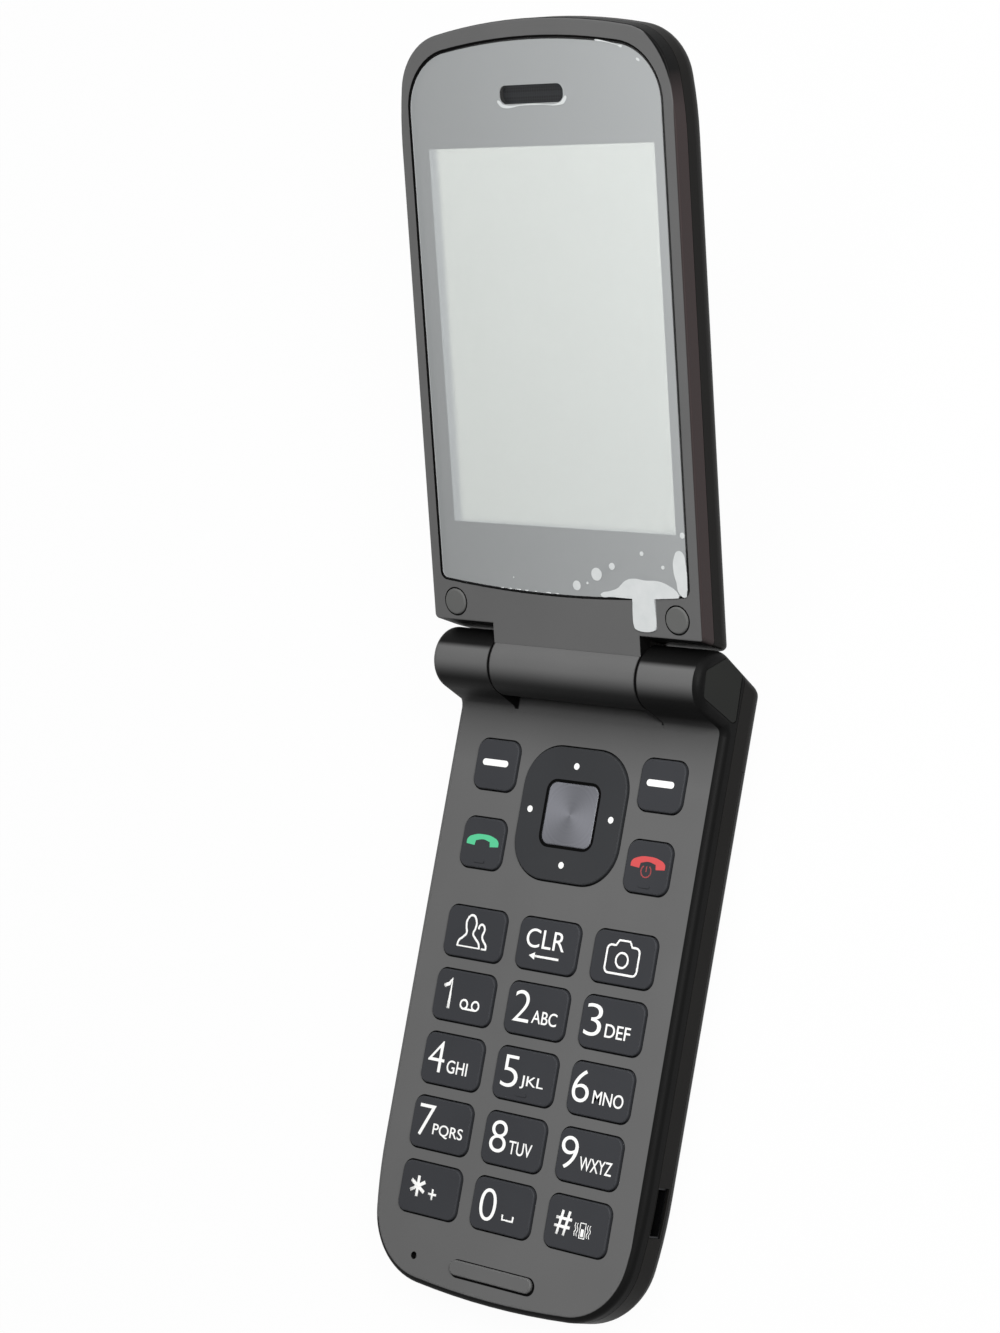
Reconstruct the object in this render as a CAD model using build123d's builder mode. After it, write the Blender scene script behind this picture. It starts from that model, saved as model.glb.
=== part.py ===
from build123d import *
import os
from math import cos, radians, sin, tan

os.makedirs("parts", exist_ok=True)

# The part is an open clamshell feature phone lying on its back, keypad up, lid raised.
# +X is to the user's right, +Y runs from the keypad end to the hinge, +Z is up.
# The origin is on the battery cover's flat back. All lengths are millimetres.

# Overall sizes
body_width = 53.7
base_thickness = 9.0
base_reach = 100.0
lid_reach = 100.6
lid_thickness = 8.0
base_corner_radius = 11.9
base_side_curve = 22.0
base_shoulder_inset = 2.7
base_shoulder_drop = 1.85
lid_corner_radius = 9.2
lid_side_curve = 18.6
lid_shoulder_inset = 2.0
lid_shoulder_drop = 3.1
hinge_y = 50.0
open_angle = 158.5
closed_gap = 0.9
cut_overrun = 1.0
seat_gap = 0.05
parting_gap = 0.1

# Hinge barrel and the two knuckles
barrel_radius = 5.1
knuckle_width = 12.0
barrel_bore_radius = 3.4
barrel_side_gap = 0.25
barrel_pocket_gap = 0.45
axis_above_face = 4.1
rear_lip_drop = 1.0
arm_front_lean = 16.0
arm_rear_lean = 21.0
plate_inset = 2.6
plate_thickness = 1.2
plate_reach = 13.0
plate_screw_inset = 2.6
plate_screw_from_axis = 11.2

# Hinge caps, hinge cartridge, spring, cam, bush and flex cable
cap_outline_share = ((0.3, 0.72), (0.84, -0.2), (0.5, -1.12), (-0.95, -1.18), (-0.98, -1.0), (-0.5, 0.62))
cap_corner_radius = 0.7
cap_depth = 0.8
cap_gap = 0.12
cap_peg_radius = 2.3
cap_peg_length = 1.6
cartridge_from_middle = 1.1
cartridge_wall = 0.5
cam_shaft_radius = 1.5
cam_shaft_end_gap = 4.5
cam_shaft_gap = 0.2
cam_head_radius = 3.1
cam_head_length = 5.0
cam_head_flats = 5.0
spring_wire = 0.6
spring_turns = 6
spring_gap = 0.15
bush_radius = 2.6
bush_bore_radius = 1.9
bush_in_barrel = 5.0
bush_in_knuckle = 5.0
flex_cavity_radius = 3.4
flex_roll_radius = 1.5
flex_thickness = 0.25
flex_width = 5.0
flex_slot_margin = 0.4
flex_slot_height = 1.0
flex_reach = 18.0

# Shells of the base
wall = 1.3
panel_thickness = 1.0
panel_depth = 2.4
panel_edge_radius = 1.2
back_edge_radius = 3.6
rear_edge_radius = 1.4
cover_depth = 3.15
cover_back = 1.0
cover_seam_from_axis = 12.0
floor_thickness = 0.6
rear_back_wall = 1.2
rest_bar_length = 16.6
rest_bar_width = 2.4
rest_bar_rise = 0.5
rest_bar_from_end = 4.7
rest_bar_edge_radius = 0.25
mic_hole_radius = 0.6
mic_from_side = 10.75
mic_from_end = 4.9
screw_head_radius = 1.3
screw_head_height = 0.7
screw_shank_radius = 0.7
screw_length = 2.9
screw_boss_radius = 1.4
base_screw_inset = 3.45
base_screw_from_axis = 16.0
base_screw_from_end = 31.0

# Keys
key_gap = 0.25
key_rise = 0.45
key_edge_radius = 0.25
key_flange = 0.5
key_flange_thickness = 0.33
key_flange_gap = 0.05
plunger_radius = 1.1
plunger_length = 0.27
key_side_margin = 5.85
key_spacing = 3.0
key_row_spacing = 2.2
key_corner = 1.6
first_row_from_axis = 43.3
last_row_from_end = 15.5
nav_side_margin = 5.95
pad_side_spacing = 2.1
nav_key_corner = 1.8
soft_key_from_axis = 16.1
call_key_from_axis = 28.85
nib_length = 2.2
nib_width = 0.5
nib_rise = 0.15
nib_from_edge = 1.1

# Direction pad, its carrier and the select key
pad_width = 20.6
pad_height = 21.3
pad_corner = 6.6
pad_from_axis = 22.5
pad_flange = 0.5
pad_flange_thickness = 0.25
pad_flange_drop = 0.4
pad_relief = 0.35
select_size = 10.0
select_corner = 1.5
select_above_sheet = 1.0
select_plunger = 0.35
carrier_half = 5.7
carrier_hole_half = 3.2
carrier_thickness = 0.15
carrier_above_sheet = 0.3

# Circuit board, switch sheet, key mat and what sits on the board
board_thickness = 0.8
board_margin = 0.6
sheet_thickness = 0.1
sheet_margin = 0.8
dome_radius = 2.0
dome_rise = 0.25
pad_dome_radius = 7.9
mat_above_board = 0.4
mat_thickness = 0.2
mat_hole_radius = 1.7
mat_margin = 1.4
mic_size = 3.4
mic_height = 1.1
part_gap = 0.3
port_width = 7.6
port_height = 2.6
port_from_end = 19.8
port_above_back = 5.05
port_depth = 5.4
port_wall = 0.25
port_recess = 0.4
tongue_height = 0.6
tongue_width = 4.0
tongue_length = 3.6

# Battery bay and the small parts in the base
battery_from_end = 17.5
battery_from_side = 9.85
battery_thickness = 4.0
battery_from_axis = 28.5
battery_edge_radius = 1.2
bay_rib = 1.0
contact_pitch = 3.0
contact_width = 1.6
contact_block_width = 10.4
contact_block_length = 2.2
contact_block_height = 2.6
contact_blade_rise = 0.3
sim_length = 12.0
sim_width = 26.0
sim_thickness = 1.4
sim_from_axis = 20.9
motor_radius = 3.2
motor_height = 2.7
motor_wall_gap = 0.4
motor_from_axis = 36.0
speaker_length = 15.0
speaker_width = 7.5
speaker_height = 3.6
speaker_side_gap = 1.3
speaker_from_axis = 5.9
grille_slot_length = 9.0
grille_slot_width = 0.8
grille_pitch = 1.9
grille_slots = 3
antenna_length = 34.0
antenna_width = 6.0
antenna_thickness = 0.4
antenna_from_end = 9.0

# Lid shells
lid_panel_depth = 2.6
lid_panel_skin = 1.7
lid_back_edge_radius = 3.4
lid_front_edge_radius = 0.3
lid_near_edge_radius = 0.8
lid_end_gap = 0.25
lid_end_lean = 23.5
lid_back_wall = 1.2
lid_room_from_axis = 8.5
lid_tongue_back = 3.4
lid_boss_radius = 2.0

# Lens, display, film, bumpers and earpiece
lens_border = 2.2
lens_from_end = 2.85
lens_near_side = 13.9
lens_near_mid = 12.45
lens_far_corner = 9.2
lens_end_bow = 2.9
lens_near_corner = 1.4
lens_thickness = 0.8
lens_recess = 0.1
lens_gap = 0.12
lens_ledge = 1.2
slot_length = 12.4
slot_height = 2.8
slot_from_end = 11.2
slot_corner = 1.2
lcd_side_gap = 0.45
lcd_from_end = 17.7
lcd_near = 20.9
lcd_thickness = 1.1
backlight_thickness = 1.6
backlight_margin = 0.5
film_thickness = 0.12
film_inset = 0.3
tab_width = 4.1
tab_near = 8.3
tab_overlap = 1.0
tab_from_bumper = 6.0
tab_corner = 0.5
bumper_radius = 2.1
bumper_inset = 4.75
bumper_from_axis = 10.2
bumper_depth = 0.7
bumper_rise = 0.3
bumper_gap = 0.1
mesh_thickness = 0.25
mesh_margin = 0.8
receiver_length = 15.0
receiver_width = 6.0
receiver_height = 2.1

# Lid board and camera
lid_board_inset = 1.0
lid_board_near = 14.0
lid_board_from_end = 10.6
lid_board_thickness = 0.6
camera_from_end = 16.6
camera_size = 8.0
camera_barrel_radius = 2.6
camera_barrel_length = 0.5
camera_window_width = 20.0
camera_window_height = 9.0
camera_window_depth = 0.7
camera_window_rise = 0.25
camera_sight_radius = 3.0
flash_offset = 6.3
flash_radius = 1.4

# Levels and places worked out from the sizes above
half_width = body_width / 2
face_z = base_thickness
hinge_z = face_z + axis_above_face
end_y = hinge_y - base_reach
cover_end_y = hinge_y - cover_seam_from_axis
parting_z = face_z - panel_depth
panel_under_z = face_z - panel_thickness
board_top_z = parting_z
board_z = board_top_z - board_thickness
floor_z = board_z - floor_thickness
sheet_top_z = board_top_z + sheet_thickness
mat_z = board_top_z + mat_above_board
key_top_z = face_z + key_rise
flange_top_z = panel_under_z - key_flange_gap
flange_z = flange_top_z - key_flange_thickness
pad_flange_z = panel_under_z - pad_flange_drop - pad_flange_thickness
pad_y = hinge_y - pad_from_axis
key_width = (body_width - 2 * key_side_margin - 2 * key_spacing) / 3
column_pitch = key_width + key_spacing
row_pitch = (base_reach - first_row_from_axis - last_row_from_end) / 4
key_height = row_pitch - key_row_spacing
nav_key_width = half_width - nav_side_margin - pad_width / 2 - pad_side_spacing
nav_key_x = half_width - nav_side_margin - nav_key_width / 2
battery_length = base_reach - battery_from_axis - battery_from_end
battery_width = body_width - 2 * battery_from_side
motor_x = half_width - wall - motor_wall_gap - motor_radius
speaker_x = half_width - wall - back_edge_radius - speaker_side_gap - speaker_length / 2
port_y = end_y + port_from_end
knuckle_inner_x = half_width - knuckle_width
barrel_half_length = knuckle_inner_x - barrel_side_gap
cartridge_length = barrel_half_length - cartridge_from_middle
cam_shaft_reach = cartridge_length - cam_shaft_end_gap
flex_x = (cartridge_from_middle - barrel_half_length + bush_in_barrel) / 2
pocket_radius = barrel_radius + barrel_pocket_gap
cap_floor_x = half_width - cap_depth
lid_tilt = 180 - open_angle
lid_face = axis_above_face - closed_gap
lid_back = lid_face - lid_thickness
lid_parting = lid_face - lid_panel_depth
lid_cover_top = lid_parting - parting_gap
lens_top = lid_face - lens_recess
lens_under = lens_top - lens_thickness
lcd_under = lens_under - seat_gap - lcd_thickness
backlight_under = lcd_under - backlight_thickness
lid_board_under = backlight_under - seat_gap - lid_board_thickness
plate_top = lid_cover_top - seat_gap
plate_half_width = barrel_half_length - plate_inset
lens_width = body_width - 2 * lens_border
lens_far = lid_reach - lens_from_end
slot_from_axis = lid_reach - slot_from_end
lcd_width = lens_width - 2 * (lens_ledge + lcd_side_gap)
lcd_length = lid_reach - lcd_near - lcd_from_end
lid_board_width = lcd_width - 2 * lid_board_inset
lid_board_length = lid_reach - lid_board_near - lid_board_from_end
camera_from_axis = lid_reach - camera_from_end

lid_normal = (0, -sin(radians(lid_tilt)), cos(radians(lid_tilt)))
lid_ahead = (0, cos(radians(lid_tilt)), sin(radians(lid_tilt)))
hinge_point = (0, hinge_y, hinge_z)
lid_plane = Plane(origin=hinge_point, x_dir=(1, 0, 0), z_dir=lid_normal)
lid_up = Axis(hinge_point, lid_normal)
lid_along = Axis(hinge_point, lid_ahead)


def write(part, name):
    """Labels a finished piece and writes it under its node name."""
    part.label = name
    export_step(part, f"parts/{name}.step")


def base_level(z):
    """A level plane of the base at height z, in the part's own x and y."""
    return Plane.XY.offset(z)


def lid_level(height):
    """A plane of the lid: y runs from the hinge axis to the lid's far end."""
    return lid_plane.offset(height)


def base_section(x):
    """The plane across the base at x: its x is +Y and its y is +Z, from the hinge axis."""
    return Plane(origin=(x, hinge_y, hinge_z), x_dir=(0, 1, 0), z_dir=(1, 0, 0))


def lid_section(x):
    """The plane across the lid at x: its x runs along the lid and its y out of the lid's face."""
    return Plane(origin=(x, hinge_y, hinge_z), x_dir=lid_ahead, z_dir=(1, 0, 0))


def draw_round_end(half, foot_y, curve_y, shoulder, end_y, corner, toward):
    """An outline with straight sides from foot_y, sides that curve in, and a bowed end."""
    shoulder_x, shoulder_y = shoulder
    with BuildLine() as outline:
        Line((-half, foot_y), (half, foot_y))
        Line((half, foot_y), (half, curve_y))
        TangentArc((half, curve_y), (shoulder_x, shoulder_y), tangent=(0, toward))
        ThreePointArc((shoulder_x, shoulder_y), (0, end_y), (-shoulder_x, shoulder_y))
        TangentArc((-half, curve_y), (-shoulder_x, shoulder_y), tangent=(0, toward))
        Line((-half, curve_y), (-half, foot_y))
    make_face(outline.edges())
    outer = vertices().group_by(Axis.Y)[-1 if toward > 0 else 0]
    fillet(outer, corner)


def draw_base_plan(inset, far_y):
    """The base's plan outline drawn in by an inset, from the keypad end to far_y."""
    half = half_width - inset
    near_y = end_y + inset
    shoulder = (half - base_shoulder_inset, near_y + base_shoulder_drop)
    corner = base_corner_radius - inset
    draw_round_end(half, far_y, end_y + base_side_curve, shoulder, near_y, corner, -1)


def draw_lid_plan(inset, near):
    """The lid's plan outline drawn in by an inset, from near to the far end."""
    half = half_width - inset
    far = lid_reach - inset
    shoulder = (half - lid_shoulder_inset, far - lid_shoulder_drop)
    corner = lid_corner_radius - inset
    draw_round_end(half, near, lid_reach - lid_side_curve, shoulder, far, corner, 1)


def draw_lens_plan(grow):
    """The lens outline, with its curved near edge, grown by an amount all round."""
    half = lens_width / 2
    near_left = (-half, lens_near_side)
    near_right = (half, lens_near_side)
    corner_y = lens_far - lens_end_bow
    with BuildLine() as outline:
        ThreePointArc(near_left, (0, lens_near_mid), near_right)
        Line(near_right, (half, corner_y))
        ThreePointArc((half, corner_y), (0, lens_far), (-half, corner_y))
        Line((-half, corner_y), near_left)
    make_face(outline.edges())
    fillet(vertices().group_by(Axis.Y)[-1], lens_far_corner)
    fillet(vertices().sort_by(Axis.Y)[:2], lens_near_corner)
    if grow:
        offset(amount=grow)


def draw_cap_outline(grow):
    """The hinge cap's outline about the hinge axis, grown by an amount all round."""
    points = [(y * barrel_radius, z * barrel_radius) for y, z in cap_outline_share]
    with BuildLine() as outline:
        Polyline(*points, close=True)
    make_face(outline.edges())
    fillet(vertices(), cap_corner_radius)
    if grow:
        offset(amount=grow)


def lid_end(height):
    """How far from the axis the lid's leaning near end lies at a height."""
    lean = radians(lid_end_lean)
    return (barrel_radius + lid_end_gap + height * sin(lean)) / cos(lean)


# Where every key sits: x, distance from the hinge axis, width and corner radius
key_row_names = (
    ("contacts_key", "clear_key", "camera_key"),
    ("number_key_1", "number_key_2", "number_key_3"),
    ("number_key_4", "number_key_5", "number_key_6"),
    ("number_key_7", "number_key_8", "number_key_9"),
    ("star_key", "number_key_0", "hash_key"),
)
keys = {
    "left_soft_key": (-nav_key_x, soft_key_from_axis, nav_key_width, nav_key_corner),
    "right_soft_key": (nav_key_x, soft_key_from_axis, nav_key_width, nav_key_corner),
    "call_key": (-nav_key_x, call_key_from_axis, nav_key_width, nav_key_corner),
    "end_key": (nav_key_x, call_key_from_axis, nav_key_width, nav_key_corner),
}
for row, row_names in enumerate(key_row_names):
    for column, row_name in enumerate(row_names):
        key_x = (column - 1) * column_pitch
        key_from_axis = first_row_from_axis + row * row_pitch
        keys[row_name] = (key_x, key_from_axis, key_width, key_corner)
key_spots = [(x, hinge_y - from_axis) for x, from_axis, width, corner in keys.values()]
pad_spots = [(pad_dome_radius, pad_y), (-pad_dome_radius, pad_y), (0, pad_y)]
pad_spots += [(0, pad_y + pad_dome_radius), (0, pad_y - pad_dome_radius)]
nib_keys = ("number_key_5", "call_key", "end_key")
base_screw_x = half_width - base_screw_inset
base_screw_rows = (hinge_y - base_screw_from_axis, end_y + base_screw_from_end)
base_screw_spots = [(side * base_screw_x, y) for side in (-1, 1) for y in base_screw_rows]
mic_spot = (mic_from_side - half_width, end_y + mic_from_end)
plate_screw_x = plate_half_width - plate_screw_inset
plate_screw_spots = [(side * plate_screw_x, plate_screw_from_axis) for side in (-1, 1)]
bumper_x = half_width - bumper_inset
tab_x = bumper_x - tab_from_bumper
bumper_spots = [(side * bumper_x, bumper_from_axis) for side in (-1, 1)]

# The knuckle arm's profile: a round top with a leaning face at the front and at the rear
front_lean = radians(arm_front_lean)
rear_lean = radians(arm_rear_lean)
front_tangent = (-barrel_radius * cos(front_lean), barrel_radius * sin(front_lean))
rear_tangent = (barrel_radius * cos(rear_lean), -barrel_radius * sin(rear_lean))
front_foot_y = front_tangent[0] - (front_tangent[1] + axis_above_face) * tan(front_lean)
rear_foot_y = rear_tangent[0] - (hinge_z + rear_tangent[1]) * tan(rear_lean)
room_end_y = hinge_y + front_foot_y - wall

# The base's outer form, which its three shells are cut from
with BuildPart() as base_form:
    with BuildSketch(base_section(0)):
        with BuildLine():
            Polyline(
                (-base_reach, -hinge_z),
                (-base_reach, -axis_above_face),
                (front_foot_y, -axis_above_face),
                front_tangent,
            )
            ThreePointArc(front_tangent, (0, barrel_radius), rear_tangent)
            Polyline(rear_tangent, (rear_foot_y, -hinge_z), (-base_reach, -hinge_z))
        make_face()
    extrude(amount=half_width + cut_overrun, both=True)
    with BuildSketch(base_level(-cut_overrun)):
        draw_base_plan(0, hinge_y + 2 * barrel_radius)
    extrude(amount=hinge_z + 2 * barrel_radius, mode=Mode.INTERSECT)
    fillet(base_form.faces().sort_by(Axis.Z)[0].edges().sort_by(Axis.Y)[:-1], back_edge_radius)
    fillet(base_form.faces().sort_by(Axis.Z)[0].edges().sort_by(Axis.Y)[-1], rear_edge_radius)
    keypad_face = base_form.faces().filter_by(Axis.Z).sort_by(Axis.Z)[-1]
    fillet(keypad_face.edges().sort_by(Axis.Y)[:-1], panel_edge_radius)

# The room inside the battery cover follows the cover's rounded rim
with BuildPart() as cover_room:
    with BuildSketch(base_level(cover_back)):
        draw_base_plan(wall, cover_end_y - wall)
    extrude(amount=cover_depth)
    fillet(cover_room.faces().sort_by(Axis.Z)[0].edges(), back_edge_radius - wall)

# The front panel with the two hinge knuckles
with BuildPart() as front_panel:
    add(base_form.part)
    split(bisect_by=base_level(parting_z), keep=Keep.TOP)
    with BuildSketch(base_section(0)):
        Circle(pocket_radius)
        with Locations((0, (barrel_radius - axis_above_face) / 2 + cut_overrun)):
            Rectangle(2 * base_thickness, barrel_radius + axis_above_face + 2 * cut_overrun)
        with Locations((base_thickness / 2, -(axis_above_face + rear_lip_drop) / 2)):
            Rectangle(base_thickness, axis_above_face + rear_lip_drop)
    extrude(amount=knuckle_inner_x, both=True, mode=Mode.SUBTRACT)
    # The rest bar stands on the keypad face
    with BuildSketch(base_level(face_z)):
        with Locations((0, end_y + rest_bar_from_end)):
            SlotOverall(rest_bar_length, rest_bar_width)
    extrude(amount=rest_bar_rise)
    fillet(front_panel.faces().filter_by(Axis.Z).sort_by(Axis.Z)[-1].edges(), rest_bar_edge_radius)
    # The room under the face, with the screw bosses left standing
    with BuildSketch(base_level(parting_z)):
        draw_base_plan(wall, room_end_y)
        with Locations(*base_screw_spots):
            Circle(screw_boss_radius, mode=Mode.SUBTRACT)
    extrude(amount=panel_under_z - parting_z, mode=Mode.SUBTRACT)
    # Openings for the keys, the direction pad and the microphone
    with BuildSketch(base_level(panel_under_z)):
        for x, from_axis, width, corner in keys.values():
            with Locations((x, hinge_y - from_axis)):
                RectangleRounded(width + 2 * key_gap, key_height + 2 * key_gap, corner + key_gap)
        with Locations((0, pad_y)):
            RectangleRounded(pad_width + 2 * key_gap, pad_height + 2 * key_gap, pad_corner + key_gap)
        with Locations(mic_spot):
            Circle(mic_hole_radius)
    extrude(amount=panel_thickness, mode=Mode.SUBTRACT)
    with BuildSketch(base_level(panel_under_z)):
        pad_reach = 2 * (pad_flange + key_gap)
        with Locations((0, pad_y)):
            RectangleRounded(pad_width + pad_reach, pad_height + pad_reach, pad_corner + pad_reach / 2)
    extrude(amount=pad_relief, mode=Mode.SUBTRACT)
    # Pilot holes of the screws that come up from the housing
    with BuildSketch(base_level(parting_z)):
        with Locations(*base_screw_spots):
            Circle(screw_shank_radius + seat_gap)
    extrude(amount=floor_z + screw_length + seat_gap - parting_z, mode=Mode.SUBTRACT)
    # The right knuckle holds the flats of the cam, the left one the bush and the flex cable
    with BuildSketch(base_section(knuckle_inner_x)):
        Circle(cam_head_radius + seat_gap)
        flats = cam_head_flats + 2 * seat_gap
        Rectangle(2 * (cam_head_radius + seat_gap), flats, mode=Mode.INTERSECT)
    extrude(amount=cap_floor_x - knuckle_inner_x, mode=Mode.SUBTRACT)
    with BuildSketch(base_section(-knuckle_inner_x)):
        Circle(bush_radius + seat_gap)
    extrude(amount=-bush_in_knuckle, mode=Mode.SUBTRACT)
    with BuildSketch(base_section(-knuckle_inner_x - bush_in_knuckle)):
        Circle(flex_cavity_radius)
    extrude(amount=knuckle_inner_x + bush_in_knuckle - cap_floor_x, mode=Mode.SUBTRACT)
    # Recesses of the two hinge caps
    for side in (-1, 1):
        with BuildSketch(base_section(side * cap_floor_x)):
            draw_cap_outline(cap_gap)
        extrude(amount=side * (cap_depth + cut_overrun), mode=Mode.SUBTRACT)
write(front_panel.part, "base_front_panel")

# The rear housing, closed at the hinge end and open over the battery cover
with BuildPart() as rear_housing:
    add(base_form.part)
    split(bisect_by=base_level(parting_z - parting_gap), keep=Keep.BOTTOM)
    with BuildSketch(base_level(-cut_overrun)):
        with Locations((0, cover_end_y + parting_gap - base_reach / 2)):
            Rectangle(body_width + 2 * cut_overrun, base_reach)
    extrude(amount=cover_depth + parting_gap + cut_overrun, mode=Mode.SUBTRACT)
    with BuildSketch(base_level(board_z)):
        draw_base_plan(wall, room_end_y)
    extrude(amount=board_thickness, mode=Mode.SUBTRACT)
    with BuildSketch(base_level(cover_depth)):
        draw_base_plan(wall, cover_end_y - wall)
    extrude(amount=floor_z - cover_depth, mode=Mode.SUBTRACT)
    # The room at the hinge end, for the loudspeaker
    rear_room_length = hinge_y + rear_foot_y - wall - cover_end_y - wall
    with BuildSketch(base_level(rear_back_wall)):
        with Locations((0, cover_end_y + wall + rear_room_length / 2)):
            Rectangle(body_width - 2 * wall - 2 * back_edge_radius, rear_room_length)
    extrude(amount=floor_z - rear_back_wall, mode=Mode.SUBTRACT)
    # Ribs round the battery, open at the contacts
    with BuildSketch(base_level(cover_back + seat_gap)):
        with Locations((0, hinge_y - battery_from_axis)):
            rib_reach = 2 * (part_gap + bay_rib)
            with Locations((0, -battery_length / 2)):
                Rectangle(battery_width + rib_reach, battery_length + rib_reach)
                Rectangle(
                    battery_width + 2 * part_gap, battery_length + 2 * part_gap, mode=Mode.SUBTRACT
                )
                with Locations((0, -battery_length / 2)):
                    Rectangle(
                        contact_block_width + 2 * part_gap,
                        2 * (contact_block_length + part_gap),
                        mode=Mode.SUBTRACT,
                    )
    extrude(amount=floor_z - cover_back - seat_gap)
    # Screw holes through the floor, the charging socket's bay and the loudspeaker's grille
    with BuildSketch(base_level(floor_z)):
        with Locations(*base_screw_spots):
            Circle(screw_shank_radius + seat_gap)
    extrude(amount=floor_thickness, mode=Mode.SUBTRACT)
    with Locations((half_width - (port_depth + port_recess) / 2, port_y, port_above_back)):
        bay_depth = port_depth + port_recess + 2 * seat_gap
        Box(bay_depth, port_width + 2 * seat_gap, port_height + 2 * seat_gap, mode=Mode.SUBTRACT)
    with BuildSketch(base_level(0)):
        with Locations((speaker_x, hinge_y - speaker_from_axis)):
            with GridLocations(0, grille_pitch, 1, grille_slots):
                SlotOverall(grille_slot_length, grille_slot_width)
    extrude(amount=rear_back_wall, mode=Mode.SUBTRACT)
write(rear_housing.part, "base_rear_housing")

# The battery cover
with BuildPart() as battery_cover:
    add(base_form.part)
    split(bisect_by=base_level(cover_depth), keep=Keep.BOTTOM)
    split(bisect_by=Plane.XZ.offset(-cover_end_y), keep=Keep.TOP)
    add(cover_room.part, mode=Mode.SUBTRACT)
write(battery_cover.part, "battery_cover")

# The battery between its ribs, with the spring contacts at its keypad end
with BuildPart() as battery:
    with BuildSketch(base_level(floor_z - seat_gap - battery_thickness)):
        with Locations((0, hinge_y - battery_from_axis - battery_length / 2)):
            Rectangle(battery_width, battery_length)
    extrude(amount=battery_thickness)
    fillet(battery.edges().filter_by(Axis.Z), battery_edge_radius)
write(battery.part, "battery")

contact_y = hinge_y - battery_from_axis - battery_length - seat_gap
with BuildPart() as battery_contacts:
    contact_z = floor_z - contact_block_height
    with BuildSketch(base_level(contact_z)):
        with Locations((0, contact_y - contact_block_length / 2)):
            Rectangle(contact_block_width, contact_block_length)
    extrude(amount=contact_block_height)
    with BuildSketch(base_level(contact_z - contact_blade_rise)):
        with Locations((0, contact_y - contact_block_length / 2)):
            with GridLocations(contact_pitch, 0, 3, 1):
                Rectangle(contact_width, contact_block_length)
    extrude(amount=contact_blade_rise)
write(battery_contacts.part, "battery_contacts")

# The main board lies on the housing's floor
with BuildPart() as main_board:
    with BuildSketch(base_level(board_z)):
        draw_base_plan(wall + board_margin, room_end_y - board_margin)
        with Locations(*base_screw_spots):
            Circle(screw_shank_radius + seat_gap, mode=Mode.SUBTRACT)
        with Locations((half_width, port_y)):
            port_room = 2 * (port_depth + port_recess + 2 * seat_gap)
            Rectangle(port_room, port_width + 4 * seat_gap, mode=Mode.SUBTRACT)
    extrude(amount=board_thickness)
write(main_board.part, "main_board")

# The switch sheet with one metal dome under each key and five under the direction pad
with BuildPart() as dome_sheet:
    with BuildSketch(base_level(board_top_z)):
        draw_base_plan(wall + board_margin + sheet_margin, room_end_y - board_margin - sheet_margin)
        with Locations(*base_screw_spots):
            Circle(screw_boss_radius + part_gap, mode=Mode.SUBTRACT)
        with Locations(mic_spot):
            Rectangle(mic_size + 2 * part_gap, mic_size + 2 * part_gap, mode=Mode.SUBTRACT)
    extrude(amount=sheet_thickness)
    with Locations(*[(x, y, sheet_top_z + dome_rise / 2) for x, y in key_spots + pad_spots]):
        Cone(dome_radius, dome_radius / 2, dome_rise)
write(dome_sheet.part, "dome_sheet")

# The silicone key mat, open over every dome, the direction pad and the microphone
with BuildPart() as key_mat:
    with BuildSketch(base_level(mat_z)):
        draw_base_plan(wall + mat_margin, room_end_y - mat_margin)
        with Locations(*base_screw_spots):
            Circle(screw_boss_radius + part_gap, mode=Mode.SUBTRACT)
        with Locations(*key_spots):
            Circle(mat_hole_radius, mode=Mode.SUBTRACT)
        with Locations(mic_spot):
            Rectangle(mic_size + 2 * part_gap, mic_size + 2 * part_gap, mode=Mode.SUBTRACT)
        with Locations((0, pad_y)):
            RectangleRounded(
                pad_width + 2 * pad_flange + 2 * part_gap,
                pad_height + 2 * pad_flange + 2 * part_gap,
                pad_corner + pad_flange + part_gap,
                mode=Mode.SUBTRACT,
            )
    extrude(amount=mat_thickness)
write(key_mat.part, "key_mat")

# Every key: a cap that stands in its opening, a flange under the panel and a plunger over its dome
for name, (x, from_axis, width, corner) in keys.items():
    y = hinge_y - from_axis
    with BuildPart() as key:
        with BuildSketch(base_level(flange_z)):
            with Locations((x, y)):
                RectangleRounded(width, key_height, corner)
        extrude(amount=key_top_z - flange_z)
        fillet(key.faces().sort_by(Axis.Z)[-1].edges(), key_edge_radius)
        with BuildSketch(base_level(flange_z)):
            with Locations((x, y)):
                RectangleRounded(width + 2 * key_flange, key_height + 2 * key_flange, corner)
        extrude(amount=key_flange_thickness)
        with BuildSketch(base_level(flange_z)):
            with Locations((x, y)):
                Circle(plunger_radius)
        extrude(amount=-plunger_length)
        if name in nib_keys:
            with BuildSketch(base_level(key_top_z)):
                with Locations((x, y - key_height / 2 + nib_from_edge)):
                    SlotOverall(nib_length, nib_width)
            extrude(amount=nib_rise)
    write(key.part, name)

# The direction pad tilts up and down on its carrier, and the carrier tilts left and right
with BuildPart() as pad_carrier:
    with BuildSketch(base_level(sheet_top_z + carrier_above_sheet)):
        with Locations((0, pad_y)):
            Rectangle(2 * carrier_half, 2 * carrier_half)
            Rectangle(2 * carrier_hole_half, 2 * carrier_hole_half, mode=Mode.SUBTRACT)
    extrude(amount=carrier_thickness)
write(pad_carrier.part, "direction_pad_carrier")

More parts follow.
